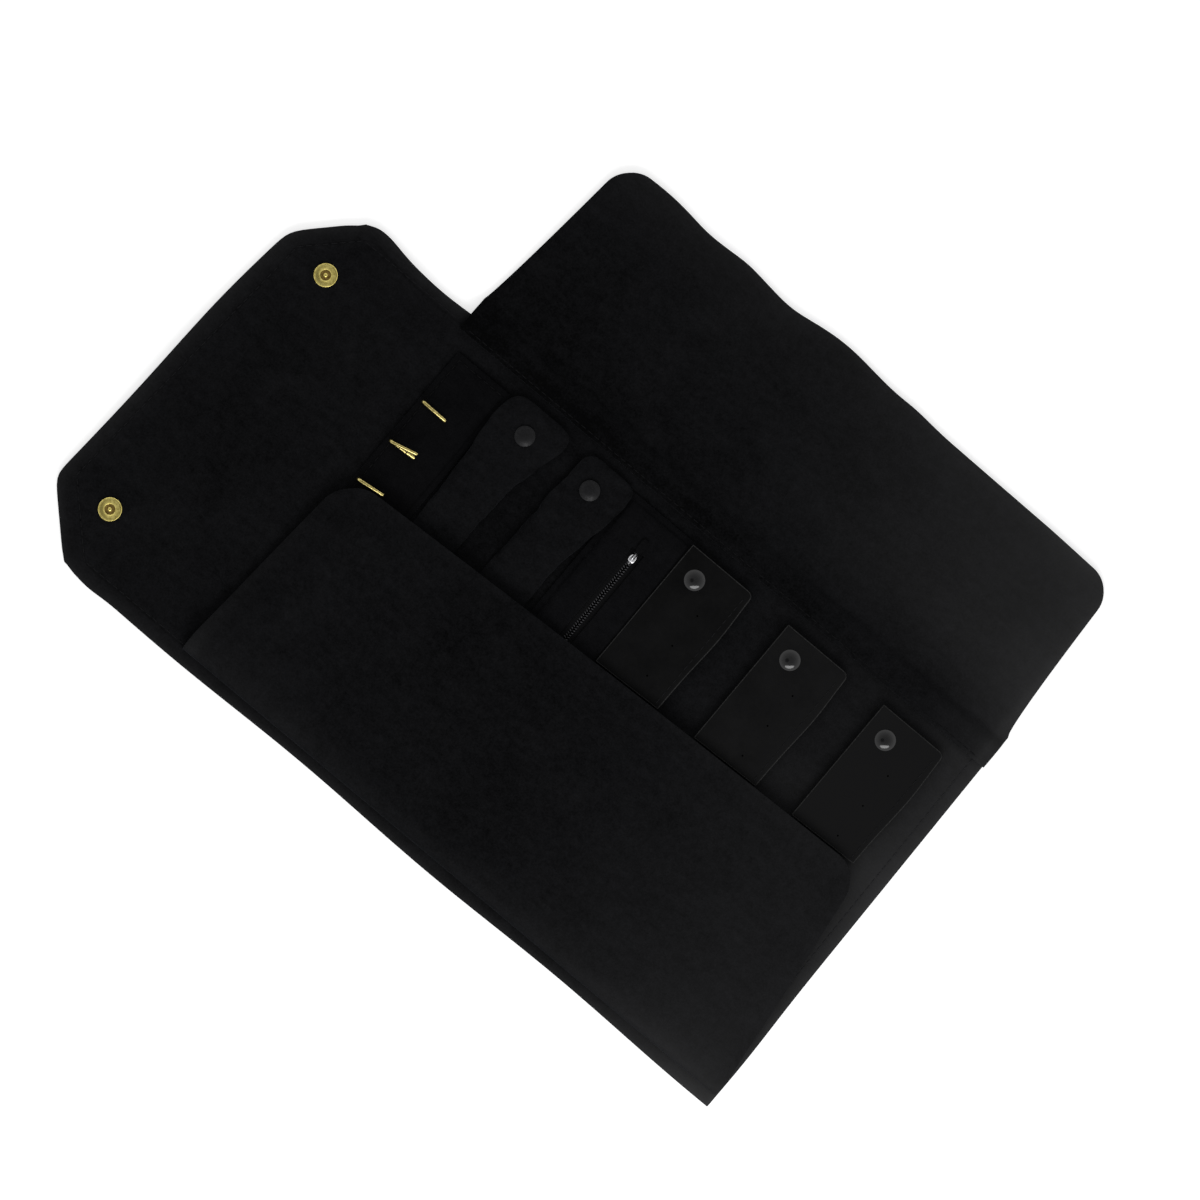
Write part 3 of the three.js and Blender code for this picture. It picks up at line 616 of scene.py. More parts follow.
def turned(name, profile, x, y, z, sides=48):
    """A turned piece on the axis at x, y, drawn up ring by ring over z."""
    (radius, height), *rings = profile
    bpy.ops.object.select_all(action="DESELECT")
    bpy.ops.mesh.primitive_circle_add(vertices=sides, radius=radius * MM, fill_type="NGON",
                                      location=(x, y, z + height * MM))
    piece = just_added(name)
    bpy.ops.object.mode_set(mode="EDIT")
    for next_radius, next_height in rings:
        rise = (next_height - height) * MM
        bpy.ops.mesh.extrude_region_move(TRANSFORM_OT_translate={"value": (0, 0, rise)})
        scale = next_radius / radius
        bpy.ops.transform.resize(value=(scale, scale, 1), center_override=(x, y, z + next_height * MM))
        radius, height = next_radius, next_height
    close_up()
    bpy.ops.object.shade_smooth_by_angle(angle=TURNED_ANGLE)
    return piece


def metal(name, deep, bright, roughness, metallic=1.0, gloss=0.5):
    """Drawn or pressed metal: its tone and polish vary a little, with fine handling scratches."""
    finish, tree, shader, place = new_finish(name)
    tarnish = fleck(tree, place, TARNISH, 4, 0.6)
    scratch = fleck(tree, place, TARNISH * 4, 2)
    feed(tree, shader, {
        "Base Color": two_tone(tree, tarnish, 0.3, deep, 0.62, bright),
        "Roughness": ranged(tree, tarnish, 0.3, 0.7, roughness * 1.3, roughness * 0.75),
        "Normal": relief(tree, scratch, 0.12, 0.05 * MM),
        "Metallic": metallic,
        "Specular IOR Level": gloss,
    })
    return finish


brass = metal("brass", BRASS_DEEP, BRASS_BRIGHT, 0.26)
ring_brass = metal("ring_brass", RING_DEEP, RING_BRIGHT, 0.26)
sunk_shade_brass = metal("sunk_shade_brass", SUNK_SHADE_DEEP, SUNK_SHADE_BRIGHT, 0.45)
black_metal = metal("black_metal", BLACK_DEEP, BLACK_BRIGHT, 0.42, metallic=0, gloss=0.13)
for number in (1, 2):
    x, y, low_z = seat(f"closing_socket_{number}")
    socket = turned(f"brass_socket_{number}", SOCKET_PROFILE, x, y, low_z)
    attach(dress(socket, ring_brass, "brass", f"closing_socket_{number}"), "closing_flap")
    # the faces of the sunk ring take the darker brass: painted shade
    socket.data.materials.append(sunk_shade_brass)
    for face in socket.data.polygons:
        spread = math.hypot(face.center.x - x, face.center.y - y)
        if SUNK_INNER < spread < SUNK_OUTER and face.center.z < low_z + SUNK_TOP:
            face.material_index = 1
    cap = turned(f"shell_cap_{number}", CLOSING_CAP_PROFILE, x, y, seat(f"closing_cap_{number}")[2])
    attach(dress(cap, black_metal, "black_metal", f"closing_cap_{number}"), "closing_flap")
    stud = turned(f"brass_stud_{number}", CLOSING_STUD_PROFILE, *seat(f"closing_stud_{number}"))
    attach(dress(stud, brass, "brass", f"closing_stud_{number}"), "panel")

# The front flap is two layers of suede sewn along a seam inside the panel's near edge. It rises from the seam
# in a soft fold, lies in over the pockets, and sags a little into the gaps between them along its free edge.
front_low, front_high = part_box("front_flap_lining")
HEM = 7.5 * MM
LAYER_T = 1.22 * MM
LAYER_STEP = 1.26 * MM
FRONT_SEAM = NEAR + HEM
FRONT_FLAT = FRONT_SEAM + 9.5 * MM
FRONT_DEPTH = 116 * MM
FRONT_SLANT = 12.5 * MM
FRONT_BOW = 5 * MM
FRONT_LEFT_OUT = 3 * MM
FRONT_LEFT_TAPER = 7.7 * MM
FRONT_RIGHT_OUT = 1.8 * MM
FRONT_RIGHT_TAPER = 15.5 * MM
FRONT_LEFT_ROUND = 17 * MM
FRONT_RIGHT_ROUND = 14 * MM
FRONT_SAG = 0.85 * MM
FRONT_RIPPLE = 0.45 * MM
FRONT_DRAPE = 2.8 * MM
END_DRAPE = 2.1 * MM
# middle and reach of the gaps that the flap sags into
GAPS = ((-36 * MM, 8 * MM), (89 * MM, 10 * MM), (150 * MM, 10 * MM))
FOLD_ROWS = 9
FRONT_ROWS = FOLD_ROWS + round((front_high.y - FRONT_FLAT) / POINT_GAP)
FRONT_GRID = (round((front_high.x - front_low.x) / POINT_GAP), FRONT_ROWS)
FOLD_SHARE = FOLD_ROWS / FRONT_ROWS


def bend_curve(points, share):
    """A point and its upward normal on a smooth bend through four pull points in (y, z)."""
    a, b, c, d = (Vector(point) for point in points)
    rest = 1 - share
    spot = a * rest**3 + b * 3 * rest**2 * share + c * 3 * rest * share**2 + d * share**3
    ahead = (b - a) * 3 * rest**2 + (c - b) * 6 * rest * share + (d - c) * 3 * share**2
    ahead.normalize()
    return spot, Vector((-ahead.y, ahead.x))


def round_corner(side, end, radius):
    """Distances from a side and an end edge, moved so that the corner between them is round."""
    if side >= radius or end >= radius:
        return side, end
    p, q = 1 - side / radius, 1 - end / radius
    return radius * (1 - p * math.sqrt(1 - q * q / 2)), radius * (1 - q * math.sqrt(1 - p * p / 2))


def round_end(x, y, left, right, free, radius):
    """A point of a flap between its left and right edges, moved in by the round corners at its free edge."""
    side = min(x - left, right - x)
    new_side, new_end = round_corner(side, free - y, radius)
    return (left + new_side if x - left < right - x else right - new_side), free - new_end


def front_free_edge(x):
    share = (x - front_low.x) / (front_high.x - front_low.x)
    return FRONT_SEAM + FRONT_DEPTH + FRONT_SLANT * share + FRONT_BOW * share * (1 - share)


def front_place(step):
    fold = [(FRONT_SEAM + 1.25 * MM, LINING_TOP), (FRONT_SEAM + 0.8 * MM, 7.2 * MM),
            (FRONT_SEAM + 3.8 * MM, front_low.z), (FRONT_FLAT, front_low.z)]

    def place(along, across):
        share = max((across - FOLD_SHARE) / (1 - FOLD_SHARE), 0)
        left = front_low.x - FRONT_LEFT_OUT + FRONT_LEFT_TAPER * share
        right = front_high.x + FRONT_RIGHT_OUT - FRONT_RIGHT_TAPER * share
        x = left + (right - left) * along
        if across < FOLD_SHARE:
            spot, up = bend_curve(fold, across / FOLD_SHARE)
            return (x, spot.x + up.x * step, spot.y + up.y * step)
        free = front_free_edge(x)
        radius = FRONT_LEFT_ROUND if along < 0.5 else FRONT_RIGHT_ROUND
        x, y = round_end(x, FRONT_FLAT + (free - FRONT_FLAT) * share, left, right, free, radius)
        sag = FRONT_SAG * sum(hump(x, middle, reach) for middle, reach in GAPS) * smooth_step(share, 0.55, 1)
        ripple = FRONT_RIPPLE * noise.noise(Vector((x * 22, y * 22, 3))) * smooth_step(share, 0, 0.15)
        past = smooth_step(-x, 92 * MM, 112 * MM) + smooth_step(x, 203 * MM, 217 * MM)
        off = smooth_step(-x, 109 * MM, 118 * MM) + smooth_step(x, 209 * MM, 219 * MM)
        drape = (FRONT_DRAPE * past + END_DRAPE * off) * smooth_step(share, 0, 0.3)
        return (x, y, front_low.z + step - sag - drape + ripple)
    return place


def front_brushed(x, y, z):
    """Dark in the middle; painted shade on the fold's wall; a painted highlight along the top of the fold;
    painted glare to the right and at the near right corner; paler by the free edge.
    """
    # painted highlight along the top of the fold by the seam
    fold = paler_rim(y - FRONT_SEAM, 1.0, 13 * MM) * smooth_step(z, 5 * MM, 11 * MM)
    # painted shade on the fold's wall beside the seam
    wall = 0.9 * (1 - smooth_step(z, 4 * MM, 9 * MM)) * (1 - smooth_step(y - FRONT_SEAM, 4 * MM, 8 * MM))
    # painted glare at the near right corner
    corner = smooth_step(x, 130 * MM, 215 * MM) * paler_rim(y - FRONT_SEAM, 1.2, 30 * MM)
    free = paler_rim(min(front_free_edge(x) - y, x - front_low.x - 2 * MM), 0.5, 2.5 * MM)
    middle = 0.55 * hump(x, 20 * MM, 70 * MM)
    # painted glare growing towards the right
    return middle + wall - 0.95 * smooth_step(x, 40 * MM, 225 * MM) - fold - corner - free


flap_suede = suede("flap_suede")
brushed_flap_suede = suede("brushed_flap_suede", brushed=True)
front_lining = make_layer("front_flap_inside", FRONT_GRID, front_place(0), LAYER_T, flap_suede, "suede_flap",
                          "front_flap_lining")
front_outer = make_layer("front_flap_outside", FRONT_GRID, front_place(LAYER_STEP), LAYER_T,
                         brushed_flap_suede, "suede_flap", "front_flap_outer", "front_fold",
                         brushed=front_brushed)
for layer in (front_lining, front_outer):
    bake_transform(layer)

# The back flap is made like the front one. It is sewn inside the panel's far edge, passes over that edge and
# lies open on the table. Painted shade darkens it along its root, and its free edge waves a little.
back_low, back_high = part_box("back_flap_outer")
LIFT = 0.05 * MM
BACK_SEAM = FAR - HEM
BACK_START = BACK_SEAM - 2.4 * MM
BACK_DROP = FAR - 0.6 * MM
BACK_FLAT = FAR + 9 * MM
BACK_EDGE_Y = 164.6 * MM
BACK_SLANT = 5.2 * MM
BACK_LEFT_TAPER = 10.5 * MM
BACK_RIGHT_IN = 0.4 * MM
BACK_RIGHT_TAPER = 7.2 * MM
BACK_ROUND = 14 * MM
BACK_RISE = 1.0 * MM
BACK_WAVES = ((36, 22, 2.3), (1, 15, -1.8), (-80, 20, 1.4), (-52, 12, -0.8), (-28, 9, 0.6), (80, 9, 0.5))
HEM_ROWS = 5
DROP_ROWS = 7
ROOT_ROWS = HEM_ROWS + DROP_ROWS
BACK_ROWS = ROOT_ROWS + round((back_high.y - BACK_FLAT) / POINT_GAP)
BACK_GRID = (round((back_high.x - back_low.x) / POINT_GAP), BACK_ROWS)
BACK_ROW_INSET = 4 * MM


def back_free_edge(x):
    share = (x - back_low.x) / (back_high.x - back_low.x)
    steps = 0.5 * smooth_step(x, 85 * MM, 105 * MM) + 0.7 * smooth_step(x, 165 * MM, 205 * MM)
    return BACK_EDGE_Y - BACK_SLANT * share - steps * MM + wavy(x, BACK_WAVES)


def back_place(step):
    drop = [(BACK_DROP, LINING_TOP + LIFT), (BACK_DROP + 4.5 * MM, LINING_TOP + LIFT),
            (BACK_FLAT - 5.5 * MM, LIFT), (BACK_FLAT, LIFT)]

    def place(along, across):
        row = across * BACK_ROWS
        share = max((row - ROOT_ROWS) / (BACK_ROWS - ROOT_ROWS), 0)
        left = back_low.x + BACK_LEFT_TAPER * share**0.8
        right = back_high.x - BACK_RIGHT_IN - BACK_RIGHT_TAPER * share**0.55
        x = left + (right - left) * along
        if row < HEM_ROWS:
            return (x, BACK_START + (BACK_DROP - BACK_START) * row / HEM_ROWS, LINING_TOP + LIFT + step)
        if row < ROOT_ROWS:
            spot, up = bend_curve(drop, (row - HEM_ROWS) / DROP_ROWS)
            return (x, spot.x + up.x * step, spot.y + up.y * step)
        free = back_free_edge(x)
        x, y = round_end(x, BACK_FLAT + (free - BACK_FLAT) * share, left, right, free, BACK_ROUND)
        wave = 0.5 + 0.5 * noise.noise(Vector((x * 26, y * 15, 8)))
        return (x, y, LIFT + step + BACK_RISE * wave * smooth_step(share, 0.1, 0.9))
    return place


def root_brushed(x, y, z):
    """Painted shade along the root and over the hem, darker in the middle of the left end; painted light over
    the drop and the far part, growing to the right; paler by the free edge.
    """
    off_root = smooth_step(y - FAR, 4 * MM, 56 * MM)
    # painted shade along the root, fading towards the right
    dark = 0.85 - 0.75 * smooth_step(x, -110 * MM, 100 * MM)
    # painted shade over the hem on the left part
    hem = 0.65 * smooth_step(FAR - y, -3 * MM, 3 * MM) * (1 - smooth_step(x, 90 * MM, 170 * MM))
    # painted light over the drop, growing towards the right
    pale = 2.1 * smooth_step(x, 10 * MM, 215 * MM) * smooth_step(y - FAR, -8 * MM, 42 * MM)
    edge = min(back_free_edge(x) - y, back_high.x - 6 * MM - x)
    # painted light over the far part, stronger to the right, and paler nap at the raw edge
    glare_to_right = 1 + 0.6 * smooth_step(x, 130 * MM, 200 * MM)
    rim = glare_to_right * (paler_rim(edge, 1.15, 20 * MM) + paler_rim(edge, 1, 2 * MM))
    left = 0.4 * hump(x, -75 * MM, 35 * MM) * hump(y, 115 * MM, 30 * MM)
    return dark * (1 - off_root) + hem + left - pale - rim


back_outer = make_layer("back_flap_outside", BACK_GRID, back_place(0), LAYER_T, flap_suede, "suede_shell",
                        "back_flap_outer", "back_fold")
back_lining = make_layer("back_flap_inside", BACK_GRID, back_place(LAYER_STEP), LAYER_T, brushed_flap_suede,
                         "suede_flap", "back_flap_lining", brushed=root_brushed)
for layer in (back_outer, back_lining):
    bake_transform(layer)
back_row_y = BACK_SEAM - 0.4 * MM
back_row_z = LINING_TOP + LAYER_STEP + LAYER_T + LIFT
back_row_ends = (back_low.x + BACK_ROW_INSET, (back_low.x + back_high.x) / 2, back_high.x - BACK_ROW_INSET)
back_row = [(x, back_row_y, back_row_z) for x in back_row_ends]
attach(sew("back_seam_stitches", back_row, dull_thread), "panel")

# The hook panel is a plain strip of darker suede laid on the lining and sewn down round its edge. It runs on
# under the front flap.
HOOK_PANEL_T = 1.15 * MM
HOOK_PANEL_GRID = (17, 92)
HOOK_PANEL_SWELL = 0.25 * MM
PANEL_ROW = 3 * MM
DARK_DEEP = (0.0012, 0.0012, 0.0014, 1)
DARKER_RAISED = (0.0047, 0.0047, 0.0052, 1)


def box_distance(x, y, low, high):
    return min(x - low.x, high.x - x, y - low.y, high.y - y)


def sewn_path(low, high, inset, z):
    """Up the left side of a sewn piece, along its far end and down its right side."""
    return [(low.x + inset, low.y + inset, z), (low.x + inset, high.y - inset, z),
            (high.x - inset, high.y - inset, z), (high.x - inset, low.y + inset, z)]


def hook_panel_place(along, across):
    x = hooks_low.x + (hooks_high.x - hooks_low.x) * along
    y = hooks_low.y + (hooks_high.y - hooks_low.y) * across
    swell = HOOK_PANEL_SWELL * smooth_step(box_distance(x, y, hooks_low, hooks_high), 2 * MM, 7 * MM)
    uneven = 0.5 + 0.5 * noise.noise(Vector((x * 60, y * 60, 1)))
    return (x, y, LINING_TOP + 0.03 * MM + swell * uneven)


hook_panel = make_layer("hook_strip", HOOK_PANEL_GRID, hook_panel_place, HOOK_PANEL_T,
                        suede("hook_suede", DARK_DEEP, DARKER_RAISED, seam=0.1), "suede_pad", "hook_panel",
                        seam=lambda x, y, z: box_distance(x, y, hooks_low, hooks_high) - PANEL_ROW)
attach(hook_panel, "panel")
hook_panel_row = sewn_path(hooks_low, hooks_high, PANEL_ROW, LINING_TOP + HOOK_PANEL_T + LIFT)[:3]
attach(sew("hook_strip_stitches", hook_panel_row, dull_thread), "panel")

# Each necklace hook is a hairpin of brass wire with its bend at the left and its mouth at the right. Its
# lower arm lies on the hook panel under two bindings of thread, and no two hooks lean quite alike.
WIRE_R = 0.88 * MM
WIRE_TIP = 0.35 * MM
TIP_SHARE = 0.7
ARM_GAP = 4 * MM
HOOK_SHIFT = 0.7 * MM
# lean of each hook and splay of its upper arm, in degrees
HOOK_LEANS = ((5, 2), (3, 11), (-2, 1))
BINDING_R = 0.26 * MM
BINDING_SHARES = (0.3, 0.62)


def draw_out(length):
    bpy.ops.mesh.extrude_region_move(TRANSFORM_OT_translate={"value": (length, 0, 0)})


for number, (lean, splay) in enumerate(HOOK_LEANS, 1):
    low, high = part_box(f"hook_{number}")
    middle = (low.x + high.x) / 2
    y = (low.y + high.y) / 2 - HOOK_SHIFT
    low_z = low.z + WIRE_R
    bend_x = low.x + WIRE_R + ARM_GAP / 2
    tip_x = high.x - WIRE_TIP
    slope = math.sin(math.radians(lean))
    bpy.ops.object.select_all(action="DESELECT")
    bpy.ops.mesh.primitive_circle_add(vertices=14, radius=WIRE_R * TIP_SHARE, fill_type="NGON",
                                      location=(high.x, y, low_z), rotation=(0, -math.pi / 2, 0))
    hook = just_added(f"wire_hook_{number}")
    bpy.ops.object.mode_set(mode="EDIT")
    draw_out(-WIRE_TIP)
    bpy.ops.transform.resize(value=(1, 1 / TIP_SHARE, 1 / TIP_SHARE), center_override=(tip_x, y, low_z))
    draw_out(bend_x - tip_x)
    bpy.ops.mesh.spin(steps=14, angle=math.pi, center=(bend_x, y, low_z + ARM_GAP / 2), axis=(0, -1, 0))
    draw_out(tip_x - bend_x)
    draw_out(WIRE_TIP)
    bpy.ops.transform.resize(value=(1, TIP_SHARE, TIP_SHARE), center_override=(high.x, y, low_z + ARM_GAP))
    close_up()
    dress(hook, brass, "brass", f"hook_{number}")
    for point in hook.data.vertices:
        above = smooth_step(point.co.z, low_z, low_z + ARM_GAP)
        turn = math.radians(splay * above) * smooth_step(point.co.x, low.x, bend_x + 2 * MM)
        point.co.y += (point.co.x - middle) * slope + (point.co.x - bend_x) * math.sin(turn)
    bpy.ops.object.shade_smooth_by_angle(angle=SMOOTH_ANGLE)
    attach(hook, "panel")
    bindings = []
    for share in BINDING_SHARES:
        x = bend_x + (high.x - bend_x) * share
        bpy.ops.mesh.primitive_torus_add(major_radius=WIRE_R + 0.2 * MM, minor_radius=BINDING_R,
                                         major_segments=16, minor_segments=6, rotation=(0, math.pi / 2, 0),
                                         location=(x, y + (x - middle) * slope, low_z))
        bindings.append(just_added(f"hook_binding_{number}"))
    binding = join(*bindings)
    bpy.ops.object.shade_smooth()
    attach(dress(binding, thread, "suede_lining"), "panel")

# Each ring bar is a soft padded roll of suede. It is sewn flat to the lining under the front flap, swells
# where rings are threaded on it, and spreads into a flat tab that its snap holds down. Its padding is blown
# up as cloth.
BAR_RINGS = 110
BAR_SIDES = 36
BAR_SWELL = 1.3 * MM
# left and right edges from the snap's middle, at places across the panel, in millimetres
BAR_PLACES = (-144.4, -60, -37, -7, 6, 22, 33, 44.6)
BAR_EDGES = {
    "ring_bar_1": ((-13, -13.8, -15.2, -16.8, -17.4, -19, -18.4, -16),
                   (11, 10.2, 10, 11.2, 12.2, 15.4, 18.4, 18.8)),
    "ring_bar_2": ((-12.5, -14, -15.4, -15, -14.6, -14, -13.2, -12.2),
                   (11.6, 11, 11.4, 12.6, 14.8, 17.2, 18.4, 18)),
}
# heights of the underside and the top, at the sewn tail, along the roll and at the tab, in millimetres
BAR_UNDERSIDES = (3.05, 3.05, 3.15, 3.3, 3.4, 4.9, 5.5, 5.5)
BAR_TOPS = (4.4, 4.4, 4.9, 7.4, 8.0, 7.3, 6.95, 6.9)
PADDING_FRAMES = 20
PADDING_PRESSURE = 4
PADDING_STIFFNESS = 6


def between(places, values, place):
    """A value read off a smooth line through values at places."""
    last = len(places) - 1
    slopes = []
    for i in range(last + 1):
        before, after = max(i - 1, 0), min(i + 1, last)
        slopes.append((values[after] - values[before]) / (places[after] - places[before]))
    place = min(max(place, places[0]), places[-1])
    i = max(index for index in range(last) if places[index] <= place)
    gap = places[i + 1] - places[i]
    s = (place - places[i]) / gap
    return ((2 * s**3 - 3 * s**2 + 1) * values[i] + (s**3 - 2 * s**2 + s) * gap * slopes[i]
            + (3 * s**2 - 2 * s**3) * values[i + 1] + (s**3 - s**2) * gap * slopes[i + 1])


def blow_up(piece, held, swell):
    """Swells a closed soft piece from inside as cloth, where held lets it, by at most swell."""
    start = [point.co.copy() for point in piece.data.vertices]
    pins = piece.vertex_groups.new(name="held")
    for point in piece.data.vertices:
        pins.add([point.index], held(*point.co), "REPLACE")
    cloth = piece.modifiers.new("padding", "CLOTH")
    cloth.settings.vertex_group_mass = "held"
    cloth.settings.use_pressure = True
    cloth.settings.uniform_pressure_force = PADDING_PRESSURE
    cloth.settings.effector_weights.gravity = 0
    cloth.settings.mass = 0.2
    cloth.settings.tension_stiffness = cloth.settings.compression_stiffness = PADDING_STIFFNESS
    cloth.settings.bending_stiffness = 0.2
    cloth.settings.shrink_min = -0.03
    cloth.collision_settings.use_collision = False
    for step in range(1, PADDING_FRAMES + 1):
        scene.frame_set(step)
    bpy.context.view_layer.objects.active = piece
    bpy.ops.object.modifier_apply(modifier="padding")
    scene.frame_set(1)
    piece.vertex_groups.clear()
    for point, before in zip(piece.data.vertices, start):
        moved = point.co - before
        point.co = before + moved * min(1, swell / max(moved.length, 1e-9))


def bulged(value, power):
    """A sine or cosine, drawn out towards its ends so that a round section becomes a flatter one."""
    return math.copysign(abs(value) ** power, value)


bar_suede = suede("bar_suede")
for bar_name, (left_edges, right_edges) in BAR_EDGES.items():
    low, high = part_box(bar_name)
    tail_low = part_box(bar_name + "_tail")[0]
    middle, cap_y = seat(bar_name + "_cap")[:2]
    root = low.y / MM
    stations = (BAR_PLACES[0], root - 6, root, root + 16, root + 34, root + 48, root + 58, BAR_PLACES[-1])
    bpy.ops.object.select_all(action="DESELECT")
    bpy.ops.mesh.primitive_uv_sphere_add(segments=BAR_SIDES, ring_count=BAR_RINGS, radius=1)
    bar = just_added(bar_name + "_roll")
    for point in bar.data.vertices:
        ring = round(math.acos(max(-1, min(1, -point.co.z))) / math.pi * BAR_RINGS)
        angle = math.atan2(point.co.y, point.co.x)
        open_end = 0 if ring in (0, BAR_RINGS) else 1
        share = (min(max(ring, 1), BAR_RINGS - 1) - 1) / (BAR_RINGS - 2)
        y = (tail_low.y + (high.y - tail_low.y) * share) / MM
        left, right = between(BAR_PLACES, left_edges, y), between(BAR_PLACES, right_edges, y)
        half = (right - left) / 2 * (1 - 0.16 * smooth_step(y, 37, 44.5) ** 2)
        under, top = between(stations, BAR_UNDERSIDES, y), between(stations, BAR_TOPS, y)
        x = middle / MM + (left + right) / 2 + half * bulged(math.cos(angle), 0.6) * open_end
        z = (under + top) / 2 + (top - under) / 2 * bulged(math.sin(angle), 0.8) * open_end
        wing = 0.4 * smooth_step(x, 0, 3) if bar_name == "ring_bar_2" else 0
        point.co = Vector((x, y, z + wing)) * MM
    bpy.ops.object.mode_set(mode="EDIT")
    close_up()

    def held(x, y, z):
        snap = 1 - smooth_step(math.hypot(x - middle, y - cap_y), 6.5 * MM, 13 * MM)
        sewn = 1 - smooth_step(y, (root - 2) * MM, (root + 8) * MM)
        resting = 1 - smooth_step(z, 3.6 * MM, 5.0 * MM)
        return max(snap, sewn, resting)

    blow_up(bar, held, BAR_SWELL)
    apply_modifier(bar, "eased", "SMOOTH", factor=0.5, iterations=3)
    apply_modifier(bar, "soft", "SUBSURF", levels=1, render_levels=1)
    bpy.ops.object.shade_smooth()
    dress(bar, bar_suede, "suede_pad", bar_name, bar_name + "_tail")
    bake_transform(bar)

# The zip pocket is a strip of dark suede sewn to the lining round its edge, with a slot whose edges are
# turned under and sewn to the zip's two woven tapes. Its right edge runs on under the first leaf.
ZIP_UNDER_LEAF = 6.5 * MM
zip_low, zip_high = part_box("zip_panel")
zip_high = zip_high + Vector((ZIP_UNDER_LEAF, 0, 0))
coil_low, coil_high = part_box("zip_coil_left")[0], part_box("zip_coil_right")[1]
ZIP_X = (coil_low.x + coil_high.x) / 2
SLOT_HALF = 3.8 * MM
ZIP_COLUMNS = (12, 2, 9)
ZIP_ROWS = (10, 62, 10)
ZIP_T = 1.15 * MM
ZIP_ROW_Z = LINING_TOP + 1.9 * MM
DARK_RAISED = (0.0058, 0.0058, 0.0065, 1)


def stepped(share, counts, marks):
    """Runs through marks with a given count of steps between each pair."""
    step = share * sum(counts)
    for count, start, end in zip(counts, marks, marks[1:]):
        if step <= count + 1e-6:
            return start + (end - start) * step / count
        step -= count
    return marks[-1]


def cut_out(piece, inside):
    """Takes the faces out of a sheet whose middles are inside."""
    bpy.context.view_layer.objects.active = piece
    bpy.ops.object.mode_set(mode="EDIT")
    bpy.ops.mesh.select_mode(type="FACE")
    bpy.ops.mesh.select_all(action="DESELECT")
    bpy.ops.object.mode_set(mode="OBJECT")
    for face in piece.data.polygons:
        face.select = inside(face.center)
    bpy.ops.object.mode_set(mode="EDIT")
    bpy.ops.mesh.delete(type="FACE")
    bpy.ops.mesh.select_mode(type="VERT")
    bpy.ops.object.mode_set(mode="OBJECT")


def zip_panel_place(along, across):
    x = stepped(along, ZIP_COLUMNS, (zip_low.x, ZIP_X - SLOT_HALF, ZIP_X + SLOT_HALF, zip_high.x))
    y = stepped(across, ZIP_ROWS, (zip_low.y, coil_low.y, coil_high.y, zip_high.y))
    raised = smooth_step(box_distance(x, y, zip_low, zip_high), 0.5 * MM, 7 * MM)
    off_slot = smooth_step(abs(x - ZIP_X), SLOT_HALF, 12 * MM)
    soft = 0.3 * MM * noise.noise(Vector((x * 70, y * 45, 2))) * off_slot
    return (x, y, LINING_TOP + LIFT + (zip_low.z - LINING_TOP + soft) * raised)


zip_panel = lay_sheet("zip_strip", sum(ZIP_COLUMNS), sum(ZIP_ROWS), zip_panel_place)
cut_out(zip_panel, lambda middle: abs(middle.x - ZIP_X) < SLOT_HALF and coil_low.y < middle.y < coil_high.y)
thicken(zip_panel, ZIP_T)
mark(zip_panel, seam=lambda x, y, z: box_distance(x, y, zip_low, zip_high) - PANEL_ROW)
zip_suede = suede("zip_suede", DARK_DEEP, DARK_RAISED, seam=0.1)
dress(zip_panel, zip_suede, "suede_pad", "zip_panel", "zip_panel_rim")
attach(zip_panel, "panel")
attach(sew("zip_strip_stitches", sewn_path(zip_low, zip_high, PANEL_ROW, ZIP_ROW_Z), dull_thread), "panel")

# The zip's tapes are narrow woven strips under the slot's edges. A row of black coil teeth stands on each,
# the two rows set half a tooth apart, with a metal stop at each end.
TOOTH_PITCH = 1.4 * MM
TOOTH_LONG = 0.7 * MM
TOOTH_WIDE = 0.38 * MM
TOOTH_SLANT = 20
CHANNEL_HALF = 0.1 * MM
TAPE_EDGE = 1.1 * MM
TAPE_GRID = (4, 60)
TAPE_BEVEL = 0.12 * MM
STOP_BEVEL = 0.35 * MM
TAPE_DEEP = (0.0014, 0.0014, 0.0016, 1)
TAPE_RAISED = (0.0055, 0.0055, 0.006, 1)
COIL_DEEP = (0.010, 0.010, 0.011, 1)
COIL_BRIGHT = (0.03, 0.03, 0.033, 1)
DARK_METAL_DEEP = (0.012, 0.012, 0.013, 1)
DARK_METAL_BRIGHT = (0.03, 0.03, 0.032, 1)


def woven_tape():
    """Black twill tape: fine slanted ribs with a soft fleck."""
    finish, tree, shader, place = new_finish("woven_tape")
    turn = add_node(tree, "ShaderNodeMapping", {"Vector": place, "Rotation": (0, 0, math.radians(32))})
    ribs = add_node(tree, "ShaderNodeTexWave", {"Vector": turn.outputs[0], "Scale": 480, "Distortion": 0.6})
    feed(tree, shader, {
        "Base Color": two_tone(tree, ribs.outputs["Fac"], 0, TAPE_DEEP, 1, TAPE_RAISED),
        "Normal": relief(tree, ribs.outputs["Fac"], 0.5, 0.12 * MM),
        "Roughness": 0.85,
        "Specular IOR Level": 0.04,
    })
    return finish


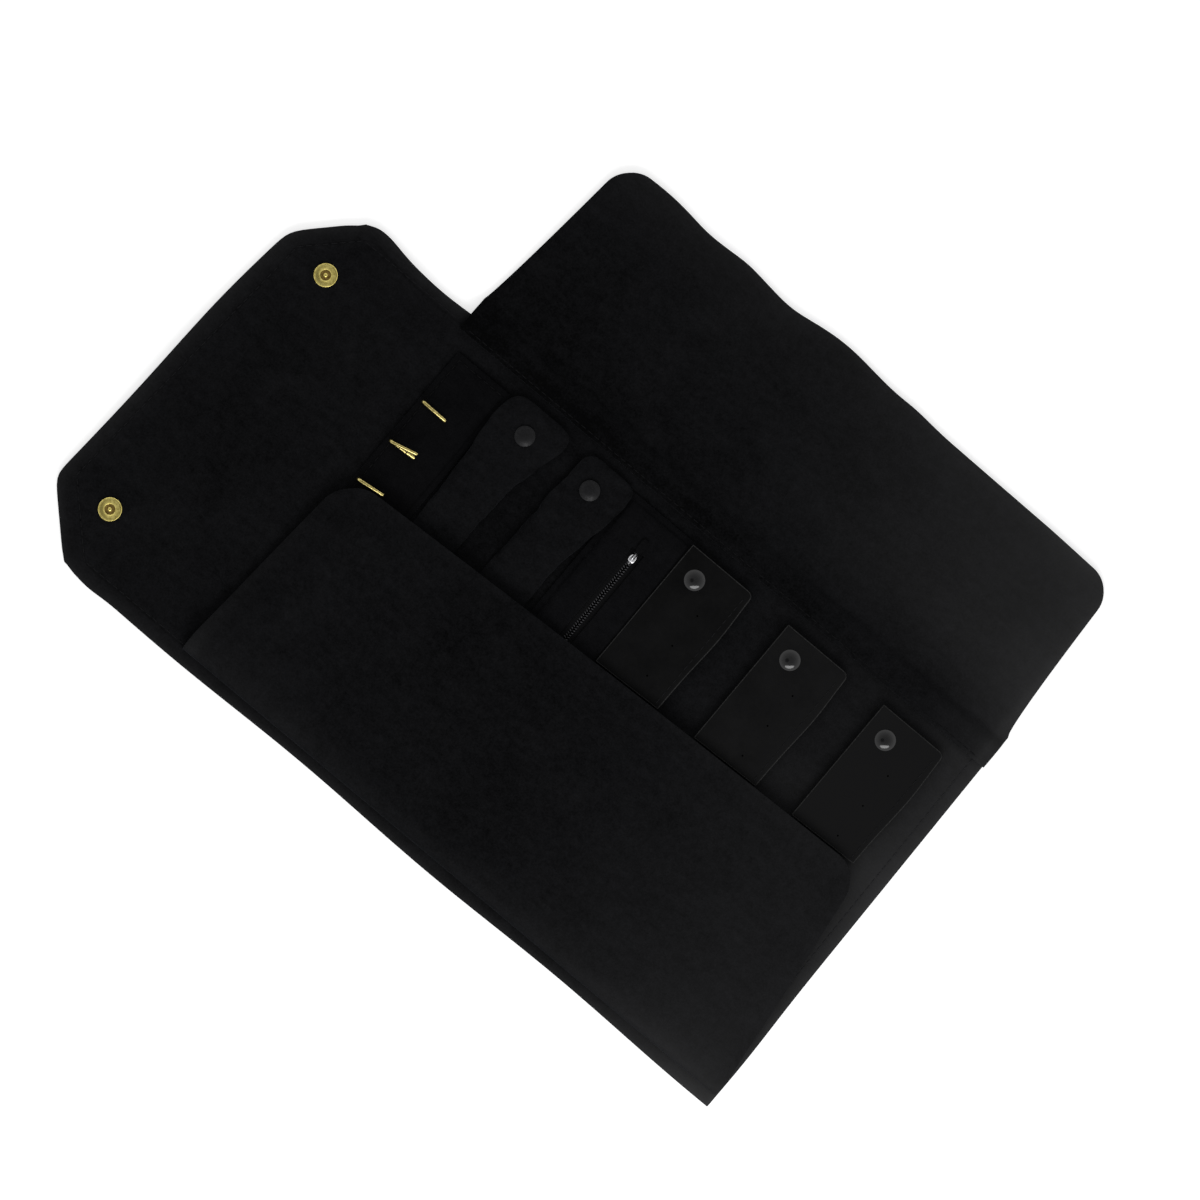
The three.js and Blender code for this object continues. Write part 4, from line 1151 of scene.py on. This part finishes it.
tape_weave = woven_tape()
coil_plastic = metal("coil_plastic", COIL_DEEP, COIL_BRIGHT, 0.34, metallic=0, gloss=0.3)
dark_metal = metal("dark_metal", DARK_METAL_DEEP, DARK_METAL_BRIGHT, 0.36, metallic=0.8, gloss=0.2)
for side, name in ((-1, "left"), (1, "right")):
    low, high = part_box(f"zip_tape_{name}")
    left, right = (low.x, ZIP_X - TAPE_EDGE) if side < 0 else (ZIP_X + TAPE_EDGE, high.x)
    tape = lay_sheet(f"tape_{name}", *TAPE_GRID, lambda along, across: (
        left + (right - left) * along, low.y + (high.y - low.y) * across, low.z))
    thicken(tape, high.z - low.z, TAPE_BEVEL)
    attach(dress(tape, tape_weave, "zip_tape", f"zip_tape_{name}"), "panel")
    low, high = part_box(f"zip_coil_{name}")
    bpy.ops.mesh.primitive_uv_sphere_add(segments=8, ring_count=6, radius=1, rotation=(0, math.pi / 2, 0))
    teeth = just_added(f"coil_{name}")
    bpy.ops.object.transform_apply(location=False, rotation=True, scale=False)
    for point in teeth.data.vertices:
        point.co.x = math.copysign(math.sqrt(abs(point.co.x)), point.co.x)
    offset = TOOTH_PITCH * (0.5 if side < 0 else 1)
    teeth.scale = (TOOTH_LONG, TOOTH_WIDE, (high.z - low.z) / 2)
    teeth.rotation_euler.z = math.radians(TOOTH_SLANT * side)
    teeth.location = (ZIP_X + side * (CHANNEL_HALF + TOOTH_LONG), low.y + offset, (low.z + high.z) / 2)
    bpy.ops.object.transform_apply(location=True, rotation=True, scale=True)
    apply_modifier(teeth, "row", "ARRAY", count=int((high.y - low.y - offset) / TOOTH_PITCH),
                   use_relative_offset=False, use_constant_offset=True,
                   constant_offset_displace=(0, TOOTH_PITCH, 0))
    bpy.ops.object.shade_smooth()
    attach(dress(teeth, coil_plastic, "zip_coil", f"zip_coil_{name}"), "panel")
for name in ("zip_top_stop", "zip_bottom_stop"):
    low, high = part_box(name)
    bpy.ops.mesh.primitive_cube_add(size=1, location=(low + high) / 2)
    stop = just_added(name + "_clamp")
    stop.scale = high - low
    bpy.ops.object.transform_apply(location=False, rotation=False, scale=True)
    apply_modifier(stop, "pressed", "BEVEL", width=STOP_BEVEL, segments=3)
    bpy.ops.object.shade_smooth_by_angle(angle=SMOOTH_ANGLE)
    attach(dress(stop, dark_metal, "dark_metal", name), "panel")

# The slider is a nickel casting of two plates that grip the teeth, joined by a thin wedge. An arched bridge
# on its top holds a flat dark pull by the narrow eye at the pull's end.
slider_low, slider_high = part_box("zip_slider")
PLATE_PROFILE = [(1.5, 0.0), (1.85, 0.08), (1.95, 0.3), (1.9, 0.55), (1.6, 0.76), (0.1, 0.82)]
PLATE_Y = 17.2 * MM
PLATE_T = 0.82 * MM
UPPER_GROWTH = 0.88
LOWER_GROWTH = 1.5
WEDGE_WIDTH = 0.12 * MM
WEDGE_LENGTH = 1.5 * MM
BRIDGE_HALF = 1.5 * MM
BRIDGE_R = 0.3 * MM
EYE_COLUMNS = (3, 4, 3)
EYE_ROWS = (2, 8, 12)
EYE_HALF = 0.52 * MM
EYE_BAR = 0.6 * MM
EYE_END = 3.6 * MM
PULL_ROUND = 1.6 * MM
NICKEL_DEEP = (0.62, 0.62, 0.64, 1)
NICKEL_BRIGHT = (0.86, 0.86, 0.88, 1)
PULL_DEEP = (0.0025, 0.0025, 0.0028, 1)
PULL_BRIGHT = (0.004, 0.004, 0.0044, 1)
nickel = metal("nickel", NICKEL_DEEP, NICKEL_BRIGHT, 0.2)
pull_black = metal("pull_black", PULL_DEEP, PULL_BRIGHT, 0.7, metallic=0, gloss=0.012)


def slider_plate(name, z, growth):
    """A plate with a blunt near end and a round far end."""
    plate = turned(name, PLATE_PROFILE, ZIP_X, PLATE_Y, z, 32)
    for point in plate.data.vertices:
        x, y = point.co.x, point.co.y
        radius = max(math.hypot(x, y), 1e-9)
        if y < 0:
            x, y = math.copysign(math.sqrt(abs(x) * radius), x), -1.15 * math.sqrt(-y * radius)
        else:
            y *= 1.35
        point.co.x, point.co.y = x * growth, y * growth
    return plate


slider = slider_plate("slider_casting", slider_high.z - PLATE_T, UPPER_GROWTH)
lower_plate = slider_plate("slider_lower_plate", slider_low.z, LOWER_GROWTH)
wedge_place = (ZIP_X, PLATE_Y + 0.8 * MM, (slider_low.z + slider_high.z) / 2)
bpy.ops.mesh.primitive_cube_add(size=1, location=wedge_place)
wedge = just_added("slider_wedge")
wedge.scale = (WEDGE_WIDTH, WEDGE_LENGTH, slider_high.z - slider_low.z - PLATE_T)
join(slider, lower_plate, wedge)
bpy.ops.object.shade_smooth_by_angle(angle=TURNED_ANGLE)
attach(dress(slider, nickel, "nickel", "zip_slider"), "slider")

low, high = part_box("zip_bridge")
bpy.ops.mesh.primitive_torus_add(major_radius=BRIDGE_HALF - BRIDGE_R, minor_radius=BRIDGE_R,
                                 major_segments=32, minor_segments=10, rotation=(0, math.pi / 2, 0))
bridge = just_added("slider_bridge")
bpy.ops.object.transform_apply(location=False, rotation=True, scale=False)
bpy.ops.object.mode_set(mode="EDIT")
bpy.ops.mesh.select_all(action="SELECT")
bpy.ops.mesh.bisect(plane_co=(0, 0, 0), plane_no=(0, 0, 1), clear_inner=True, use_fill=True)
bpy.ops.object.mode_set(mode="OBJECT")
bridge.scale.z = (high.z - low.z) / BRIDGE_HALF
bridge.location = seat("zip_bridge")
bpy.ops.object.shade_smooth_by_angle(angle=SMOOTH_ANGLE)
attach(dress(bridge, nickel, "nickel", "zip_bridge"), "slider")

low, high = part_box("zip_pull")


def pull_place(along, across):
    y = stepped(across, EYE_ROWS, (low.y, low.y + EYE_BAR, low.y + EYE_END, high.y))
    half = (0.9 + 1.1 * smooth_step(y - low.y, 2.6 * MM, 6 * MM)) * MM
    left, right = ZIP_X - half, ZIP_X + half
    x = stepped(along, EYE_COLUMNS, (left, ZIP_X - EYE_HALF, ZIP_X + EYE_HALF, right))
    return (*round_end(x, y, left, right, high.y, PULL_ROUND), low.z)


pull = lay_sheet("slider_pull", sum(EYE_COLUMNS), sum(EYE_ROWS), pull_place)
cut_out(pull, lambda middle: abs(middle.x - ZIP_X) < EYE_HALF and EYE_BAR < middle.y - low.y < EYE_END)
thicken(pull, high.z - low.z, 0.15 * MM)
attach(dress(pull, pull_black, "dark_pull", "zip_pull"), "pull")

# Each earring leaf is smooth black leather with raw cut edges. Its right edge is sewn down on a doubled hem,
# beside which it turns, small holes are punched in it for posts, and a snap holds its left side.
LEAF_T = 1.45 * MM
LEAF_BEVEL = 0.5 * MM
LEAF_GRID = (32, 58)
LEAF_ROUND = 3.2 * MM
LEAF_GAP = 0.7 * MM
LEAF_CURL = 0.5 * MM
LEAF_BULGE = 1.3 * MM
LEAF_ROW = 2.6 * MM
HEM_T = 1.2 * MM
HEM_BEVEL = 0.25 * MM
HEM_GRID = (6, 40)
HEM_GAP = 0.03 * MM
HEM_UNDER = 1 * MM
HOLE_R = 0.45 * MM
HOLE_PITCH = 19 * MM
FIRST_HOLE = 25.5 * MM
HOLE_INSET = 24 * MM
LEATHER_DEEP = (0.0018, 0.0018, 0.0019, 1)
LEATHER_WORN_AND_LIT = (0.0064, 0.0064, 0.0066, 1)
CUT_DEEP = (0.008, 0.008, 0.008, 1)
CUT_PALE = (0.033, 0.033, 0.033, 1)
UPRIGHT = 0.94


def leaf_leather():
    """Smooth black leather: a fine even grain, a soft satin polish and handling marks, and painted glare
    that makes it paler to the right.
    """
    finish, tree, shader, place = new_finish("leaf_leather")
    cloud = fleck(tree, place, 60, 4, 0.55)
    handled = fleck(tree, place, 420, 5, 0.7)
    grain = add_node(tree, "ShaderNodeTexVoronoi", {"Vector": place, "Scale": 1500, "Randomness": 0.9})
    along = add_node(tree, "ShaderNodeSeparateXYZ", {0: place}).outputs["X"]
    # painted glare, paler towards the right
    glare_to_right = ranged(tree, along, 0.04, 0.2, -0.14, 0.62)
    tone = reckon(tree, "MULTIPLY_ADD", handled, 0.35, reckon(tree, "MULTIPLY_ADD", cloud, 0.8, glare_to_right))
    feed(tree, shader, {
        "Base Color": two_tone(tree, tone, 0.2, LEATHER_DEEP, 0.9, LEATHER_WORN_AND_LIT),
        "Roughness": ranged(tree, handled, 0.3, 0.7, 0.7, 0.56),
        "Normal": relief(tree, grain.outputs["Distance"], 0.18, 0.1 * MM),
        "Specular IOR Level": 0.024,
    })
    return finish


def cut_leather():
    """The raw cut edge of black leather, paler and fibrous."""
    finish, tree, shader, place = new_finish("cut_leather")
    fibre = fleck(tree, place, 1300, 4, 0.7)
    feed(tree, shader, {
        "Base Color": two_tone(tree, fibre, 0.3, CUT_DEEP, 0.75, CUT_PALE),
        "Normal": relief(tree, fibre, 0.4, 0.15 * MM),
        "Roughness": 0.9,
        "Specular IOR Level": 0.04,
    })
    return finish


smooth_leather, raw_edge = leaf_leather(), cut_leather()


def show_cut_edge(piece):
    piece.data.materials.append(raw_edge)
    for face in piece.data.polygons:
        face.material_index = 1 if abs(face.normal.z) < UPRIGHT else 0


for number in (1, 2, 3):
    low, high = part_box(f"leaf_{number}")
    hem_low, hem_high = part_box(f"leaf_{number}_hem")
    right = hem_high.x

    def leaf_place(along, across, start=low.x, base=low.z):
        x = start + (right - start) * along
        near = front_free_edge(x) + LEAF_GAP
        y = near + (high.y - near) * across
        side, end = round_corner(right - x, high.y - y, LEAF_ROUND)
        side -= LEAF_BULGE * hump(y, 14 * MM, 20 * MM) * smooth_step(x, right - 16 * MM, right)
        curl = LEAF_CURL * hump(x, low.x, 6 * MM) * smooth_step(across, 0.3, 1) if start == low.x else 0
        return (right - side, high.y - end, base + curl)

    leaf = lay_sheet(f"leaf_leather_{number}", *LEAF_GRID, leaf_place)
    thicken(leaf, LEAF_T, LEAF_BEVEL)
    hole_y = high.y - FIRST_HOLE
    holes = []
    while hole_y > front_free_edge(right) + 3 * MM:
        holes.append((low.x + HOLE_INSET, hole_y, HOLE_R))
        hole_y -= HOLE_PITCH
    punch(leaf, holes)
    dress(leaf, smooth_leather, "leather_leaf", f"leaf_{number}")
    show_cut_edge(leaf)
    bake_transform(leaf)
    strips = []
    for base in (LINING_TOP + HEM_GAP, LINING_TOP + 2 * HEM_GAP + HEM_T):
        strip = lay_sheet(f"leaf_hem_{number}", *HEM_GRID,
                          lambda along, across: leaf_place(along, across, hem_low.x - HEM_UNDER, base))
        thicken(strip, HEM_T, HEM_BEVEL)
        strips.append(strip)
    hem = join(*strips)
    dress(hem, smooth_leather, "leather_leaf", f"leaf_{number}_hem")
    show_cut_edge(hem)
    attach(hem, "panel")
    row_x = right - LEAF_ROW
    leaf_row = [(row_x, front_free_edge(right) + 2 * MM, high.z), (row_x, high.y - 4 * MM, high.z)]
    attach(sew(f"leaf_stitches_{number}", leaf_row), "panel")

# The press snaps of the ring bars and leaves: a black domed cap on the tab, a dark socket under it and a dark
# stud on the lining, all turned and clenched through the leather or suede.
CAP_PROFILE = [
    (4.6, 0.0), (5.05, 0.05), (5.2, 0.3), (5.12, 0.62), (4.8, 0.86), (4.5, 0.96), (4.2, 1.16), (3.7, 1.45),
    (3.0, 1.76), (2.2, 2.0), (1.3, 2.14), (0.5, 2.19), (0.1, 2.2),
]
DOME_R = 7.6
DOME_TOP = 2.19
DOME_RINGS = (5.05, 4.8, 4.5, 4.2, 3.8, 3.4, 3.0, 2.6, 2.2, 1.8, 1.4, 1.0, 0.6, 0.1)
LEAF_CAP_PROFILE = [(4.6, 0.0), (5.05, 0.04), (5.2, 0.16)] + [
    (radius, DOME_TOP - DOME_R + math.sqrt(DOME_R**2 - radius**2)) for radius in DOME_RINGS]
SNAP_SOCKET_PROFILE = [(2.1, 0.0), (4.1, 0.0), (4.5, 0.2), (4.6, 0.6), (4.5, 1.3), (4.2, 1.65), (2.1, 1.7)]
SNAP_STUD_PROFILE = [
    (3.9, 0.0), (4.2, 0.12), (4.1, 0.4), (3.7, 0.5), (2.0, 0.52), (1.62, 0.7), (1.6, 1.1), (1.8, 1.5),
    (1.7, 1.85), (1.2, 2.0), (0.1, 2.0),
]
GLOSSY_DEEP = (0.002, 0.002, 0.0022, 1)
GLOSSY_BRIGHT = (0.004, 0.004, 0.0044, 1)
glossy_black = metal("glossy_black", GLOSSY_DEEP, GLOSSY_BRIGHT, 0.13, metallic=0, gloss=0.46)
SNAP_CAPS = {
    "ring_bar_1": (CAP_PROFILE, black_metal),
    "ring_bar_2": (CAP_PROFILE, black_metal),
    "leaf_1": (LEAF_CAP_PROFILE, glossy_black),
    "leaf_2": (LEAF_CAP_PROFILE, glossy_black),
    "leaf_3": (LEAF_CAP_PROFILE, glossy_black),
}
for holder, cap_kind in SNAP_CAPS.items():
    for part, (profile, finish), slot, body in (
        ("cap", cap_kind, "black_metal", holder),
        ("socket", (SNAP_SOCKET_PROFILE, dark_metal), "dark_metal", holder),
        ("stud", (SNAP_STUD_PROFILE, dark_metal), "dark_metal", "panel"),
    ):
        piece = turned(f"{holder}_snap_{part}", profile, *seat(f"{holder}_{part}"))
        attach(dress(piece, finish, slot, f"{holder}_{part}"), body)
